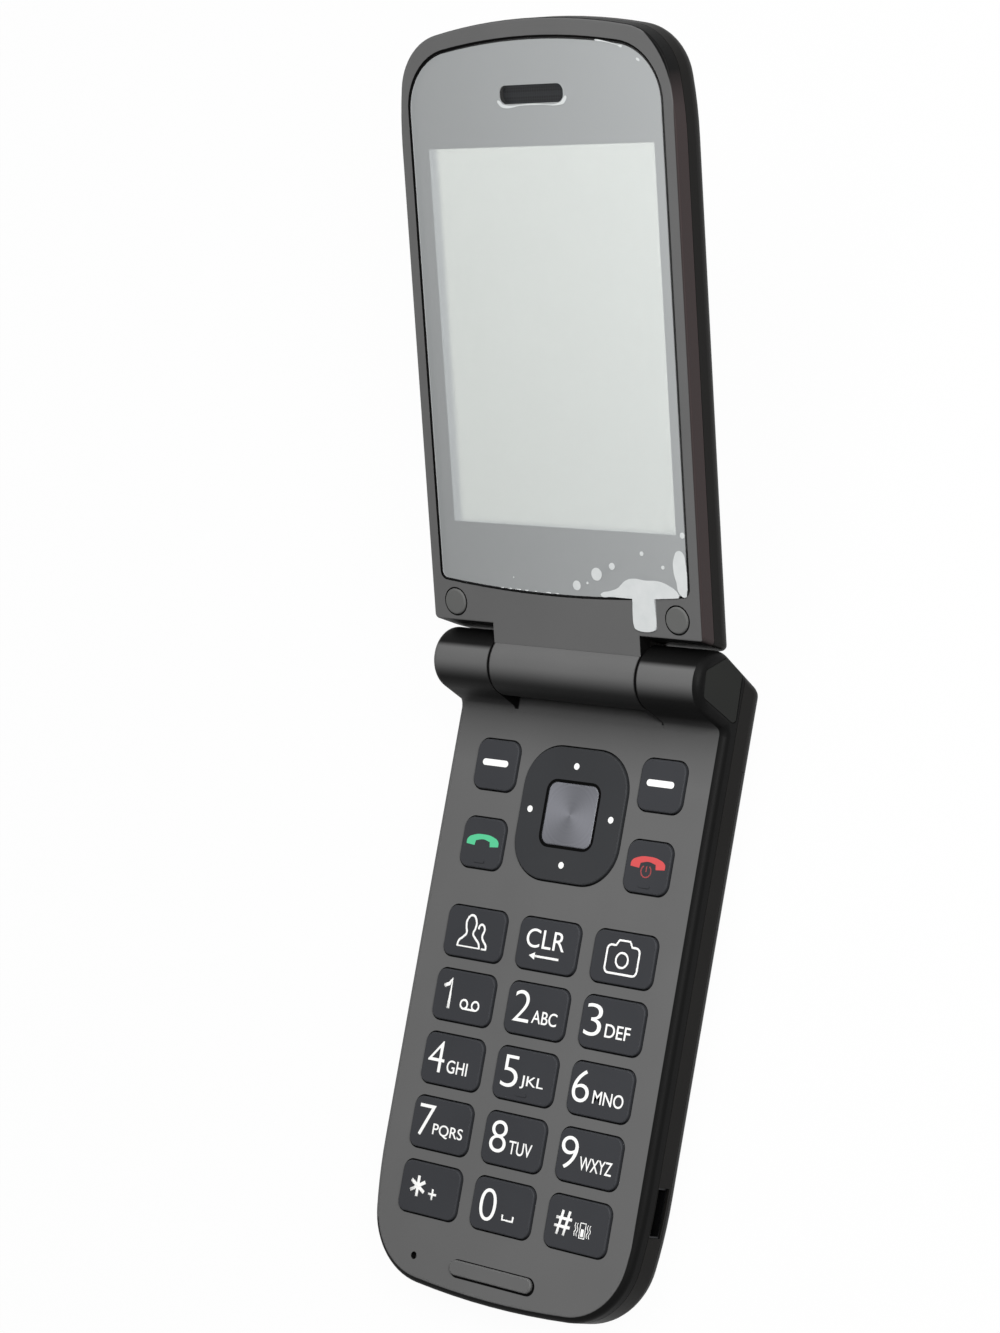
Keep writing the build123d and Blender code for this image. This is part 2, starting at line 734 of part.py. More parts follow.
with BuildPart() as pad_ring:
    with BuildSketch(base_level(pad_flange_z)):
        with Locations((0, pad_y)):
            RectangleRounded(pad_width, pad_height, pad_corner)
    extrude(amount=key_top_z - pad_flange_z)
    fillet(pad_ring.faces().sort_by(Axis.Z)[-1].edges(), key_edge_radius)
    with BuildSketch(base_level(pad_flange_z)):
        with Locations((0, pad_y)):
            RectangleRounded(pad_width + 2 * pad_flange, pad_height + 2 * pad_flange, pad_corner + pad_flange)
    extrude(amount=pad_flange_thickness)
    with BuildSketch(base_level(pad_flange_z)):
        with Locations((0, pad_y)):
            select_room = select_size + 2 * key_gap
            RectangleRounded(select_room, select_room, select_corner + key_gap)
    extrude(amount=base_thickness, mode=Mode.SUBTRACT)
write(pad_ring.part, "direction_pad")

with BuildPart() as select_key:
    select_z = sheet_top_z + select_above_sheet
    with BuildSketch(base_level(select_z)):
        with Locations((0, pad_y)):
            RectangleRounded(select_size, select_size, select_corner)
    extrude(amount=key_top_z - select_z)
    fillet(select_key.faces().sort_by(Axis.Z)[-1].edges(), key_edge_radius)
    with BuildSketch(base_level(select_z)):
        with Locations((0, pad_y)):
            Circle(plunger_radius)
    extrude(amount=-select_plunger)
write(select_key.part, "select_key")

# The charging socket's steel shell and its contact tongue
with BuildPart() as charging_socket:
    socket_x = half_width - port_recess - port_depth
    socket_plane = Plane(origin=(socket_x, port_y, port_above_back), x_dir=(0, 1, 0), z_dir=(1, 0, 0))
    with BuildSketch(socket_plane):
        Rectangle(port_width, port_height)
    extrude(amount=port_depth)
    with BuildSketch(socket_plane.offset(port_wall)):
        Rectangle(port_width - 2 * port_wall, port_height - 2 * port_wall)
    extrude(amount=port_depth, mode=Mode.SUBTRACT)
    with BuildSketch(socket_plane.offset(port_wall)):
        Rectangle(tongue_width, tongue_height)
    extrude(amount=tongue_length)
write(charging_socket.part, "charging_socket")

with BuildPart() as microphone:
    with BuildSketch(base_level(board_top_z)):
        with Locations(mic_spot):
            Rectangle(mic_size, mic_size)
    extrude(amount=mic_height)
    with BuildSketch(base_level(board_top_z + mic_height)):
        with Locations(mic_spot):
            Circle(mic_hole_radius)
    extrude(amount=-mic_height / 2, mode=Mode.SUBTRACT)
write(microphone.part, "microphone")

# The small parts under the floor
with BuildPart() as sim_holder:
    with BuildSketch(base_level(floor_z - seat_gap - sim_thickness)):
        with Locations((0, hinge_y - sim_from_axis)):
            Rectangle(sim_width, sim_length)
    extrude(amount=sim_thickness)
write(sim_holder.part, "sim_holder")

with BuildPart() as vibration_motor:
    with BuildSketch(base_level(floor_z - seat_gap - motor_height)):
        with Locations((motor_x, hinge_y - motor_from_axis)):
            Circle(motor_radius)
    extrude(amount=motor_height)
write(vibration_motor.part, "vibration_motor")

with BuildPart() as loudspeaker:
    with BuildSketch(base_level(rear_back_wall + seat_gap)):
        with Locations((speaker_x, hinge_y - speaker_from_axis)):
            Rectangle(speaker_length, speaker_width)
    extrude(amount=speaker_height)
write(loudspeaker.part, "loudspeaker")

with BuildPart() as antenna:
    with BuildSketch(base_level(floor_z - seat_gap - antenna_thickness)):
        with Locations((0, end_y + antenna_from_end)):
            Rectangle(antenna_length, antenna_width)
    extrude(amount=antenna_thickness)
write(antenna.part, "antenna")

with BuildPart() as base_screws:
    with BuildSketch(base_level(floor_z - screw_head_height)):
        with Locations(*base_screw_spots):
            Circle(screw_head_radius)
    extrude(amount=screw_head_height)
    with BuildSketch(base_level(floor_z)):
        with Locations(*base_screw_spots):
            Circle(screw_shank_radius)
    extrude(amount=screw_length)
write(base_screws.part, "base_screws")

# The two hinge caps, each with a spigot into its knuckle
for side, name in ((-1, "hinge_cap_left"), (1, "hinge_cap_right")):
    with BuildPart() as hinge_cap:
        with BuildSketch(base_section(side * (cap_floor_x + seat_gap))):
            draw_cap_outline(0)
        extrude(amount=side * (cap_depth - 2 * seat_gap))
        with BuildSketch(base_section(side * (cap_floor_x + seat_gap))):
            Circle(cap_peg_radius)
        extrude(amount=-side * cap_peg_length)
    write(hinge_cap.part, name)

# The hinge: a cartridge with its spring in the barrel, a cam in the right knuckle, a bush on the left
cartridge_radius = barrel_bore_radius - seat_gap
cartridge_room_radius = cartridge_radius - cartridge_wall
cartridge_end_x = barrel_half_length - cartridge_length
with BuildPart() as hinge_cartridge:
    with BuildSketch(base_section(cartridge_end_x)):
        Circle(cartridge_radius)
    extrude(amount=cartridge_length)
    with BuildSketch(base_section(cartridge_end_x + cartridge_wall)):
        Circle(cartridge_room_radius)
    extrude(amount=cartridge_length - 2 * cartridge_wall, mode=Mode.SUBTRACT)
    with BuildSketch(base_section(cartridge_end_x + cartridge_length)):
        Circle(cam_shaft_radius + cam_shaft_gap)
    extrude(amount=-cut_overrun, mode=Mode.SUBTRACT)
write(hinge_cartridge.part, "hinge_cartridge")

spring_radius = cartridge_room_radius - spring_gap - spring_wire / 2
spring_length = cartridge_length - 2 * cartridge_wall - 2 * spring_gap - spring_wire
spring_start_x = cartridge_end_x + cartridge_wall + spring_gap + spring_wire / 2
with BuildPart() as hinge_spring:
    with BuildLine():
        coil = Helix(
            spring_length / spring_turns,
            spring_length,
            spring_radius,
            center=(spring_start_x, hinge_y, hinge_z),
            direction=(1, 0, 0),
        )
    with BuildSketch(Plane(origin=coil @ 0, z_dir=coil % 0)):
        Circle(spring_wire / 2)
    sweep()
write(hinge_spring.part, "hinge_spring")

with BuildPart() as hinge_cam:
    with BuildSketch(base_section(knuckle_inner_x + seat_gap)):
        Circle(cam_head_radius)
        Rectangle(2 * cam_head_radius, cam_head_flats, mode=Mode.INTERSECT)
    extrude(amount=cam_head_length)
    with BuildSketch(base_section(knuckle_inner_x + seat_gap)):
        Circle(cam_shaft_radius)
    extrude(amount=-cam_shaft_reach)
write(hinge_cam.part, "hinge_cam")

with BuildPart() as hinge_bush:
    with BuildSketch(base_section(-knuckle_inner_x - bush_in_knuckle + seat_gap)):
        Circle(bush_radius)
        Circle(bush_bore_radius, mode=Mode.SUBTRACT)
    extrude(amount=bush_in_knuckle + bush_in_barrel)
write(hinge_bush.part, "hinge_bush")

# The lid's outer form, which its two shells are cut from
with BuildPart() as lid_form:
    with BuildSketch(lid_section(0)):
        with BuildLine():
            Polyline(
                (lid_end(lid_face), lid_face),
                (lid_reach, lid_face),
                (lid_reach, lid_back),
                (lid_end(lid_back), lid_back),
                (lid_end(lid_face), lid_face),
            )
        make_face()
    extrude(amount=half_width + cut_overrun, both=True)
    with BuildSketch(lid_level(lid_back - cut_overrun)):
        draw_lid_plan(0, 0)
    extrude(amount=lid_thickness + 2 * cut_overrun, mode=Mode.INTERSECT)
    back_edges = lid_form.faces().filter_by(lid_up).sort_by(lid_up)[0].edges().sort_by(lid_along)
    fillet(back_edges[1:], lid_back_edge_radius)
    fillet(lid_form.edges().filter_by(Axis.X).sort_by(lid_up)[0], lid_near_edge_radius)
    fillet(lid_form.faces().filter_by(lid_up).sort_by(lid_up)[-1].edges(), lid_front_edge_radius)

# The room inside the rear cover follows the cover's rounded rim
with BuildPart() as lid_room:
    with BuildSketch(lid_level(lid_back + lid_back_wall)):
        draw_lid_plan(wall, lid_room_from_axis)
    extrude(amount=lid_thickness)
    fillet(lid_room.faces().filter_by(lid_up).sort_by(lid_up)[0].edges(), lid_back_edge_radius - wall)

# The lid's front frame, whose tongue runs down to the barrel
with BuildPart() as lid_frame:
    add(lid_form.part)
    split(bisect_by=lid_level(lid_parting), keep=Keep.TOP)
    with BuildSketch(lid_level(lid_parting)):
        with Locations((0, lid_room_from_axis / 2)):
            Rectangle(2 * barrel_half_length, lid_room_from_axis)
    extrude(amount=lid_panel_depth)
    with BuildSketch(lid_section(0)):
        Circle(barrel_radius + seat_gap)
        with Locations((-barrel_radius, 0)):
            Rectangle(2 * barrel_radius, 2 * barrel_radius)
    extrude(amount=barrel_half_length + cut_overrun, both=True, mode=Mode.SUBTRACT)
    # The room behind the face, with the bosses under the bumpers left standing
    with BuildSketch(lid_level(lid_parting)):
        draw_lid_plan(wall, lid_room_from_axis)
        with Locations(*bumper_spots):
            Circle(lid_boss_radius, mode=Mode.SUBTRACT)
    extrude(amount=lid_panel_depth - lid_panel_skin, mode=Mode.SUBTRACT)
    # The lens's recess, its ledge and the opening for the display and the earpiece
    with BuildSketch(lid_level(lens_under)):
        draw_lens_plan(lens_gap)
    extrude(amount=lens_thickness + lens_recess, mode=Mode.SUBTRACT)
    with BuildSketch(lid_level(lid_parting)):
        draw_lens_plan(-lens_ledge)
    extrude(amount=lid_panel_depth, mode=Mode.SUBTRACT)
    # Bumper pockets and the pilot holes of the screws under them
    with BuildSketch(lid_level(lid_face - bumper_depth)):
        with Locations(*bumper_spots):
            Circle(bumper_radius + bumper_gap)
    extrude(amount=bumper_depth, mode=Mode.SUBTRACT)
    with BuildSketch(lid_level(lid_face - bumper_depth - screw_head_height - seat_gap)):
        with Locations(*bumper_spots):
            Circle(screw_head_radius + seat_gap)
    extrude(amount=screw_head_height + seat_gap, mode=Mode.SUBTRACT)
    with BuildSketch(lid_level(lid_parting)):
        with Locations(*bumper_spots):
            Circle(screw_shank_radius + seat_gap)
    extrude(amount=lid_panel_skin, mode=Mode.SUBTRACT)
write(lid_frame.part, "lid_front_frame")

# The lid's rear cover
with BuildPart() as lid_cover:
    add(lid_form.part)
    split(bisect_by=lid_level(lid_cover_top), keep=Keep.BOTTOM)
    with BuildSketch(lid_level(-lid_tongue_back)):
        with Locations((0, lid_room_from_axis / 2)):
            Rectangle(2 * barrel_half_length, lid_room_from_axis)
    extrude(amount=lid_cover_top + lid_tongue_back)
    with BuildSketch(lid_section(0)):
        Circle(barrel_radius + seat_gap)
        with Locations((-barrel_radius, 0)):
            Rectangle(2 * barrel_radius, 2 * barrel_radius)
    extrude(amount=barrel_half_length + cut_overrun, both=True, mode=Mode.SUBTRACT)
    add(lid_room.part, mode=Mode.SUBTRACT)
    # The notch for the barrel's mounting plate
    with BuildSketch(lid_level(plate_top - plate_thickness - seat_gap)):
        with Locations((0, lid_room_from_axis / 2)):
            Rectangle(2 * (plate_half_width + seat_gap), lid_room_from_axis + cut_overrun)
    extrude(amount=plate_thickness + cut_overrun, mode=Mode.SUBTRACT)
    # Bosses for the screws under the bumpers and for the plate's screws
    with BuildSketch(lid_level(lid_back + lid_back_wall)):
        with Locations(*bumper_spots):
            Circle(lid_boss_radius)
    extrude(amount=lid_cover_top - lid_back - lid_back_wall)
    with BuildSketch(lid_level(lid_back + lid_back_wall)):
        with Locations(*plate_screw_spots):
            Circle(lid_boss_radius)
    extrude(amount=plate_top - plate_thickness - seat_gap - lid_back - lid_back_wall)
    with BuildSketch(lid_level(lid_face - bumper_depth - screw_head_height - screw_length - 2 * seat_gap)):
        with Locations(*bumper_spots):
            Circle(screw_shank_radius + seat_gap)
    extrude(amount=screw_length, mode=Mode.SUBTRACT)
    with BuildSketch(lid_level(plate_top - screw_length - seat_gap)):
        with Locations(*plate_screw_spots):
            Circle(screw_shank_radius + seat_gap)
    extrude(amount=screw_length, mode=Mode.SUBTRACT)
    # The camera window's recess and the holes behind it
    with BuildSketch(lid_level(lid_back)):
        with Locations((0, camera_from_axis)):
            SlotOverall(camera_window_width + 2 * lens_gap, camera_window_height + 2 * lens_gap)
    extrude(amount=camera_window_depth, mode=Mode.SUBTRACT)
    with BuildSketch(lid_level(lid_back)):
        with Locations((0, camera_from_axis)):
            Circle(camera_sight_radius)
        with Locations((flash_offset, camera_from_axis)):
            Circle(flash_radius + seat_gap)
    extrude(amount=lid_back_wall, mode=Mode.SUBTRACT)
write(lid_cover.part, "lid_rear_cover")

# The hinge barrel with its mounting plate, bored for the cartridge and the flex cable
with BuildPart() as barrel:
    with BuildSketch(lid_section(0)):
        Circle(barrel_radius)
    extrude(amount=barrel_half_length, both=True)
    with BuildSketch(lid_level(plate_top - plate_thickness)):
        with Locations((0, plate_reach / 2)):
            Rectangle(2 * plate_half_width, plate_reach)
        with Locations(*plate_screw_spots):
            Circle(screw_shank_radius + seat_gap, mode=Mode.SUBTRACT)
    extrude(amount=plate_thickness)
    with BuildSketch(lid_section(0)):
        Circle(barrel_bore_radius)
    extrude(amount=barrel_half_length, both=True, mode=Mode.SUBTRACT)
    with BuildSketch(lid_level(-flex_slot_height / 2)):
        with Locations((flex_x, (plate_reach + cut_overrun) / 2)):
            Rectangle(flex_width + 2 * flex_slot_margin, plate_reach + cut_overrun)
    extrude(amount=flex_slot_height, mode=Mode.SUBTRACT)
write(barrel.part, "lid_hinge_barrel")

# The flex cable: rolled up through the bush, then flat into the lid
with BuildPart() as hinge_flex:
    with BuildSketch(lid_section(-knuckle_inner_x - bush_in_knuckle - cut_overrun)):
        Circle(flex_roll_radius)
        Circle(flex_roll_radius - flex_thickness, mode=Mode.SUBTRACT)
        with Locations((0, -flex_roll_radius)):
            Rectangle(flex_roll_radius, 2 * flex_roll_radius, mode=Mode.SUBTRACT)
    extrude(amount=flex_x + flex_width / 2 + knuckle_inner_x + bush_in_knuckle + cut_overrun)
    with BuildSketch(lid_level(-flex_thickness / 2)):
        with Locations((flex_x, (flex_reach + flex_roll_radius - flex_thickness) / 2)):
            Rectangle(flex_width, flex_reach - flex_roll_radius + flex_thickness)
    extrude(amount=flex_thickness)
write(hinge_flex.part, "hinge_flex")

# The display lens, open at the earpiece, and the protective film with its pull tab
with BuildPart() as display_lens:
    with BuildSketch(lid_level(lens_under)):
        draw_lens_plan(0)
        with Locations((0, slot_from_axis)):
            RectangleRounded(slot_length, slot_height, slot_corner, mode=Mode.SUBTRACT)
    extrude(amount=lens_thickness)
write(display_lens.part, "display_lens")

with BuildPart() as protective_film:
    with BuildSketch(lid_level(lens_top)):
        draw_lens_plan(-film_inset)
        with Locations((0, slot_from_axis)):
            RectangleRounded(slot_length, slot_height, slot_corner, mode=Mode.SUBTRACT)
    extrude(amount=lens_recess + film_thickness)
    tab_length = lens_near_side + tab_overlap - tab_near
    with BuildSketch(lid_level(lid_face)):
        with Locations((tab_x, tab_near + tab_length / 2)):
            RectangleRounded(tab_width, tab_length, tab_corner)
    extrude(amount=film_thickness)
write(protective_film.part, "protective_film")

# The display, its backlight and the board behind them
with BuildPart() as display_panel:
    with BuildSketch(lid_level(lcd_under)):
        with Locations((0, lcd_near + lcd_length / 2)):
            Rectangle(lcd_width, lcd_length)
    extrude(amount=lcd_thickness)
write(display_panel.part, "display_panel")

with BuildPart() as backlight:
    with BuildSketch(lid_level(backlight_under)):
        with Locations((0, lcd_near + lcd_length / 2)):
            Rectangle(lcd_width + 2 * backlight_margin, lcd_length + 2 * backlight_margin)
    extrude(amount=backlight_thickness)
write(backlight.part, "backlight")

with BuildPart() as lid_board:
    with BuildSketch(lid_level(lid_board_under)):
        with Locations((0, lid_board_near + lid_board_length / 2)):
            Rectangle(lid_board_width, lid_board_length)
    extrude(amount=lid_board_thickness)
write(lid_board.part, "lid_board")

# The earpiece and its mesh
mesh_under = lens_under - seat_gap - mesh_thickness
with BuildPart() as earpiece_mesh:
    with BuildSketch(lid_level(mesh_under)):
        with Locations((0, slot_from_axis)):
            RectangleRounded(slot_length + 2 * mesh_margin, slot_height + 2 * mesh_margin, slot_corner)
    extrude(amount=mesh_thickness)
write(earpiece_mesh.part, "earpiece_mesh")

with BuildPart() as earpiece:
    with BuildSketch(lid_level(mesh_under - seat_gap - receiver_height)):
        with Locations((0, slot_from_axis)):
            Rectangle(receiver_length, receiver_width)
    extrude(amount=receiver_height)
write(earpiece.part, "earpiece")

# The camera on the board's rear side, its window and the flash lens
with BuildPart() as camera_module:
    camera_back = lid_board_under - seat_gap
    camera_front = lid_back + lid_back_wall + seat_gap + camera_barrel_length
    with BuildSketch(lid_level(camera_front)):
        with Locations((0, camera_from_axis)):
            Rectangle(camera_size, camera_size)
    extrude(amount=camera_back - camera_front)
    with BuildSketch(lid_level(camera_front)):
        with Locations((0, camera_from_axis)):
            Circle(camera_barrel_radius)
    extrude(amount=-camera_barrel_length)
write(camera_module.part, "camera_module")

with BuildPart() as camera_window:
    with BuildSketch(lid_level(lid_back - camera_window_rise)):
        with Locations((0, camera_from_axis)):
            SlotOverall(camera_window_width, camera_window_height)
    extrude(amount=camera_window_depth + camera_window_rise - seat_gap)
write(camera_window.part, "camera_window")

with BuildPart() as flash_lens:
    with BuildSketch(lid_level(lid_back + camera_window_depth)):
        with Locations((flash_offset, camera_from_axis)):
            Circle(flash_radius)
    extrude(amount=lid_back_wall - camera_window_depth + flash_radius / 2)
write(flash_lens.part, "flash_lens")

# Bumpers and the lid's screws
with BuildPart() as lid_bumpers:
    with BuildSketch(lid_level(lid_face - bumper_depth + seat_gap)):
        with Locations(*bumper_spots):
            Circle(bumper_radius)
    extrude(amount=bumper_depth - seat_gap + bumper_rise)
    fillet(lid_bumpers.faces().filter_by(lid_up).group_by(lid_up)[-1].edges(), bumper_rise)
write(lid_bumpers.part, "lid_bumpers")

with BuildPart() as lid_screws:
    for spots, seat in (
        (bumper_spots, lid_face - bumper_depth - screw_head_height),
        (plate_screw_spots, plate_top + seat_gap),
    ):
        with BuildSketch(lid_level(seat)):
            with Locations(*spots):
                Circle(screw_head_radius)
        extrude(amount=screw_head_height - seat_gap)
        with BuildSketch(lid_level(seat)):
            with Locations(*spots):
                Circle(screw_shank_radius)
        extrude(amount=-screw_length)
write(lid_screws.part, "lid_screws")
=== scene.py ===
from math import atan2, cos, pi, radians, sin, sqrt

import bmesh
import bpy
from mathutils import Matrix, Vector


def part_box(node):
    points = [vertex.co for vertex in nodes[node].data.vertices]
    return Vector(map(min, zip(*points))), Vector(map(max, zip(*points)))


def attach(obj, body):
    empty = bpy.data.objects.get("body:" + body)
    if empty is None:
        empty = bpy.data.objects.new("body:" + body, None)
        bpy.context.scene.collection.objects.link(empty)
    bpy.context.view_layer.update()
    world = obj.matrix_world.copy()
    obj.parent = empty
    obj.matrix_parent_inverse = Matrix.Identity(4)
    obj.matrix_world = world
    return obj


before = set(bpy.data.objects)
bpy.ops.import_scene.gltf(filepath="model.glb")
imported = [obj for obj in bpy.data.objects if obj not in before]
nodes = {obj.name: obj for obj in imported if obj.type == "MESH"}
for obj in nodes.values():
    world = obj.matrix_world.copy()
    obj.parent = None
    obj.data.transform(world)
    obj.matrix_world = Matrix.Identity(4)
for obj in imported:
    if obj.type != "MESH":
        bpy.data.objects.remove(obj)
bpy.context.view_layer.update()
print("frame loaded,", len(nodes), "pieces")

mm = 0.001

# Where the two halves stand, in millimetres of the shared frame
phone = {
    "hinge": (0.0, 50.0, 13.1),
    "lidTilt": 21.5,  # degrees above level, as in the photograph
    "keyTop": 9.45,
    "keypadFace": 9.0,
    "lidFace": 3.2,  # height of the lid's face over the hinge axis, along the lid's own normal
    "lensTop": 3.1,
    "padCentre": (0.0, 27.5),
    "joint": 14.72,  # how far from the middle the barrel meets the knuckles
}
tilt = radians(phone["lidTilt"])
hingePoint = Vector(phone["hinge"]) * mm
lidAlong = Vector((0, cos(tilt), sin(tilt)))
lidNormal = Vector((0, -sin(tilt), cos(tilt)))
# The lid's own space: x across, y along the lid from the hinge, z out of its face
lidSpace = Matrix((
    (1, 0, 0, hingePoint.x),
    (0, lidAlong.y, lidNormal.y, hingePoint.y),
    (0, lidAlong.z, lidNormal.z, hingePoint.z),
    (0, 0, 0, 1),
))


# Camera, at the photograph's viewpoint
view = {
    "place": (0.31153, 0.00464, 0.40475),
    "turn": (12.754, 38.318, 12.802),
    "lens": 86.48,
    "shift": (-0.0012, 0.0147),
}
cameraData = bpy.data.cameras.new("photoCamera")
cameraData.lens = view["lens"]
cameraData.shift_x, cameraData.shift_y = view["shift"]
cameraData.clip_start = 0.01
camera = bpy.data.objects.new("photoCamera", cameraData)
camera.location = view["place"]
camera.rotation_euler = [radians(a) for a in view["turn"]]
bpy.context.scene.collection.objects.link(camera)
bpy.context.scene.camera = camera
print("camera placed")


# Colours are written as sRGB hex, and the shader wants them linear
def linear(hexCode):
    parts = [int(hexCode[i:i + 2], 16) / 255 for i in (1, 3, 5)]
    return tuple(p / 12.92 if p <= 0.04045 else ((p + 0.055) / 1.055) ** 2.4 for p in parts) + (1.0,)


def addNode(tree, kind, settings=None, links=None):
    node = tree.nodes.new("ShaderNode" + kind)
    for key, value in (settings or {}).items():
        if isinstance(key, int) or key in node.inputs:
            node.inputs[key].default_value = value
        else:
            setattr(node, key, value)
    for key, socket in (links or {}).items():
        tree.links.new(socket, node.inputs[key])
    return node


# One step of arithmetic on sockets or plain numbers
def calculate(tree, operation, *values):
    node = addNode(tree, "Math", {"operation": operation})
    for slot, value in zip(node.inputs, values):
        if isinstance(value, bpy.types.NodeSocket):
            tree.links.new(value, slot)
        else:
            slot.default_value = value
    return node.outputs[0]


# Maps a value between two limits to another pair of limits, and clamps it there
def remap(tree, value, start, end, low=0.0, high=1.0, smooth=False):
    kind = "SMOOTHSTEP" if smooth else "LINEAR"
    return addNode(tree, "MapRange", {"From Min": start, "From Max": end, "To Min": low, "To Max": high,
                                      "interpolation_type": kind}, {"Value": value}).outputs[0]


def mixColours(tree, share, first, second):
    node = addNode(tree, "Mix", {"data_type": "RGBA"}, {0: share})
    for slot, colour in ((node.inputs[6], first), (node.inputs[7], second)):
        if isinstance(colour, str):
            slot.default_value = linear(colour)
        else:
            tree.links.new(colour, slot)
    return node.outputs[2]


def metres(values):
    return [value * mm for value in values]


def pointOf(tree):
    return addNode(tree, "TexCoord").outputs["Object"]


def acrossOf(tree, place):
    return addNode(tree, "SeparateXYZ", {}, {0: place}).outputs[0]


def noiseOf(tree, place, size, **settings):
    named = {key.capitalize(): value for key, value in settings.items()}
    return addNode(tree, "TexNoise", {"Scale": 1 / (size * mm), **named}, {"Vector": place}).outputs["Fac"]


# How far a point lies from an origin along one direction
def distanceAlong(tree, place, origin, direction):
    away = addNode(tree, "VectorMath", {"operation": "SUBTRACT", 1: origin}, {0: place}).outputs[0]
    return addNode(tree, "VectorMath", {"operation": "DOT_PRODUCT", 1: direction}, {0: away}).outputs["Value"]


def startMaterial(name, colour, roughness, **sockets):
    material = bpy.data.materials.new(name)
    material.use_nodes = True
    tree = material.node_tree
    shader = tree.nodes["Principled BSDF"]
    shader.inputs["Base Color"].default_value = linear(colour)
    shader.inputs["Roughness"].default_value = roughness
    for key, value in sockets.items():
        shader.inputs[key.replace("_", " ")].default_value = value
    return material, tree, shader


finishes = {
    "facePaint": ("#5c5c5c", "#606060"),
    # near black that stands for shade on rims, walls, joints and round the hinge: painted shade
    "paintedShadeAbs": "#090909",
    # dark ABS of the lid's walls, tinted brownish as a painted reflection
    "lidWallAbsPaintedSheen": "#352e2e",
    "housingAbs": ("#121110", "#161514"),
    "keyPc": ("#343538", "#38393c"),
    "padPc": ("#313234", "#353638"),
    "paintSheen": 0.08,  # how much of the studio a sprayed or moulded surface mirrors
    "plasticSheen": 0.07,
}


grain = {
    "driftSize": 14,  # width in millimetres of the slow drift in colour
    "fineShare": 0.35,  # how much of the colour's change comes from the single grains
    "contrast": (0.3, 0.7),
    "bump": 0.5,
}


# Grain of a moulded or sprayed surface: bump, a little colour drift and a little change of gloss.
# grainSize is the width of one grain, and height its depth, in millimetres.
def addGrain(tree, shader, colours, grainSize, height, roughness):
    place = pointOf(tree)
    fine = noiseOf(tree, place, grainSize, detail=3.0, roughness=0.6)
    drift = noiseOf(tree, place, grain["driftSize"], detail=2.0)
    fineShare = grain["fineShare"]
    both = calculate(tree, "MULTIPLY_ADD", drift, 1 - fineShare, calculate(tree, "MULTIPLY", fine, fineShare))
    tint = mixColours(tree, remap(tree, both, *grain["contrast"]), *colours)
    tree.links.new(tint, shader.inputs["Base Color"])
    tree.links.new(remap(tree, fine, 0, 1, *roughness), shader.inputs["Roughness"])
    bump = addNode(tree, "Bump", {"Strength": grain["bump"], "Distance": height * mm}, {"Height": fine})
    tree.links.new(bump.outputs[0], shader.inputs["Normal"])
    return tint


# Where the spray reaches, and where painted shade takes over from it: millimetres, and degrees round the hinge axis
# away from the side that faces the keys
spray = {
    "facing": 18,  # where that side lies, in degrees above level
    "knuckleFront": (24, 64),
    "knuckleRear": (96, 84),
    "barrelFront": (22, 64),
    "barrelShadeLeast": 0.08,  # share of the paint left on the side that faces the keys; the rest is painted shade
    "jointShadeWidth": (0.18, 0.4),
    "keypadEnd": 43.3,
    "keypadShadeStart": 34,  # from here to its end the keypad's paint darkens, as painted shade under the hinge
    "keypadShadeLeast": 0.62,
    "litLeftRim": (-26.4, -24.8),
    "wall": (26.0, 26.7),
    "lidCorner": (11.9, 86.8),
    "lidCornerRadius": 14.6,
    "cornerSoftness": 0.06,
    "rightSoftness": 0.05,
    "heightSoftness": 0.02,
    "grainSize": 0.22,
    "grainHeight": 0.006,
    "roughness": (0.48, 0.6),
}


# How far round the hinge axis a point lies from the side that faces the keys
def turnFromFront(tree, place):
    away = addNode(tree, "VectorMath", {"operation": "SUBTRACT", 1: hingePoint}, {0: place}).outputs[0]
    split = addNode(tree, "SeparateXYZ", {}, {0: away})
    angle = calculate(tree, "ARCTAN2", split.outputs[2], calculate(tree, "MULTIPLY", split.outputs[1], -1.0))
    return calculate(tree, "ABSOLUTE", calculate(tree, "SUBTRACT", angle, radians(spray["facing"])))


# Painted shade in the two joints of the hinge: beside them the paint gives way to near black, which draws their dark
# lines
def paintedJointShade(tree, across):
    gap = calculate(tree, "SUBTRACT", calculate(tree, "ABSOLUTE", across), phone["joint"] * mm)
    return remap(tree, calculate(tree, "ABSOLUTE", gap), *metres(spray["jointShadeWidth"]))


# 1 inside a limit and 0 beyond it, with a soft edge between
def inside(tree, value, limit, softness):
    return remap(tree, value, *metres((limit + softness, limit - softness)))


# Painted shade at the lid's right far corner: 1 inside a rounded outline, 0 beyond it, where the rim shows near black
def unshadedCorner(tree, across, along):
    parts = {}
    for axis, value in enumerate((across, along)):
        beyond = calculate(tree, "SUBTRACT", value, spray["lidCorner"][axis] * mm)
        parts[axis] = calculate(tree, "MAXIMUM", beyond, 0.0)
    joined = addNode(tree, "CombineXYZ", {}, parts).outputs[0]
    far = addNode(tree, "VectorMath", {"operation": "LENGTH"}, {0: joined}).outputs["Value"]
    return inside(tree, far, spray["lidCornerRadius"], spray["cornerSoftness"])


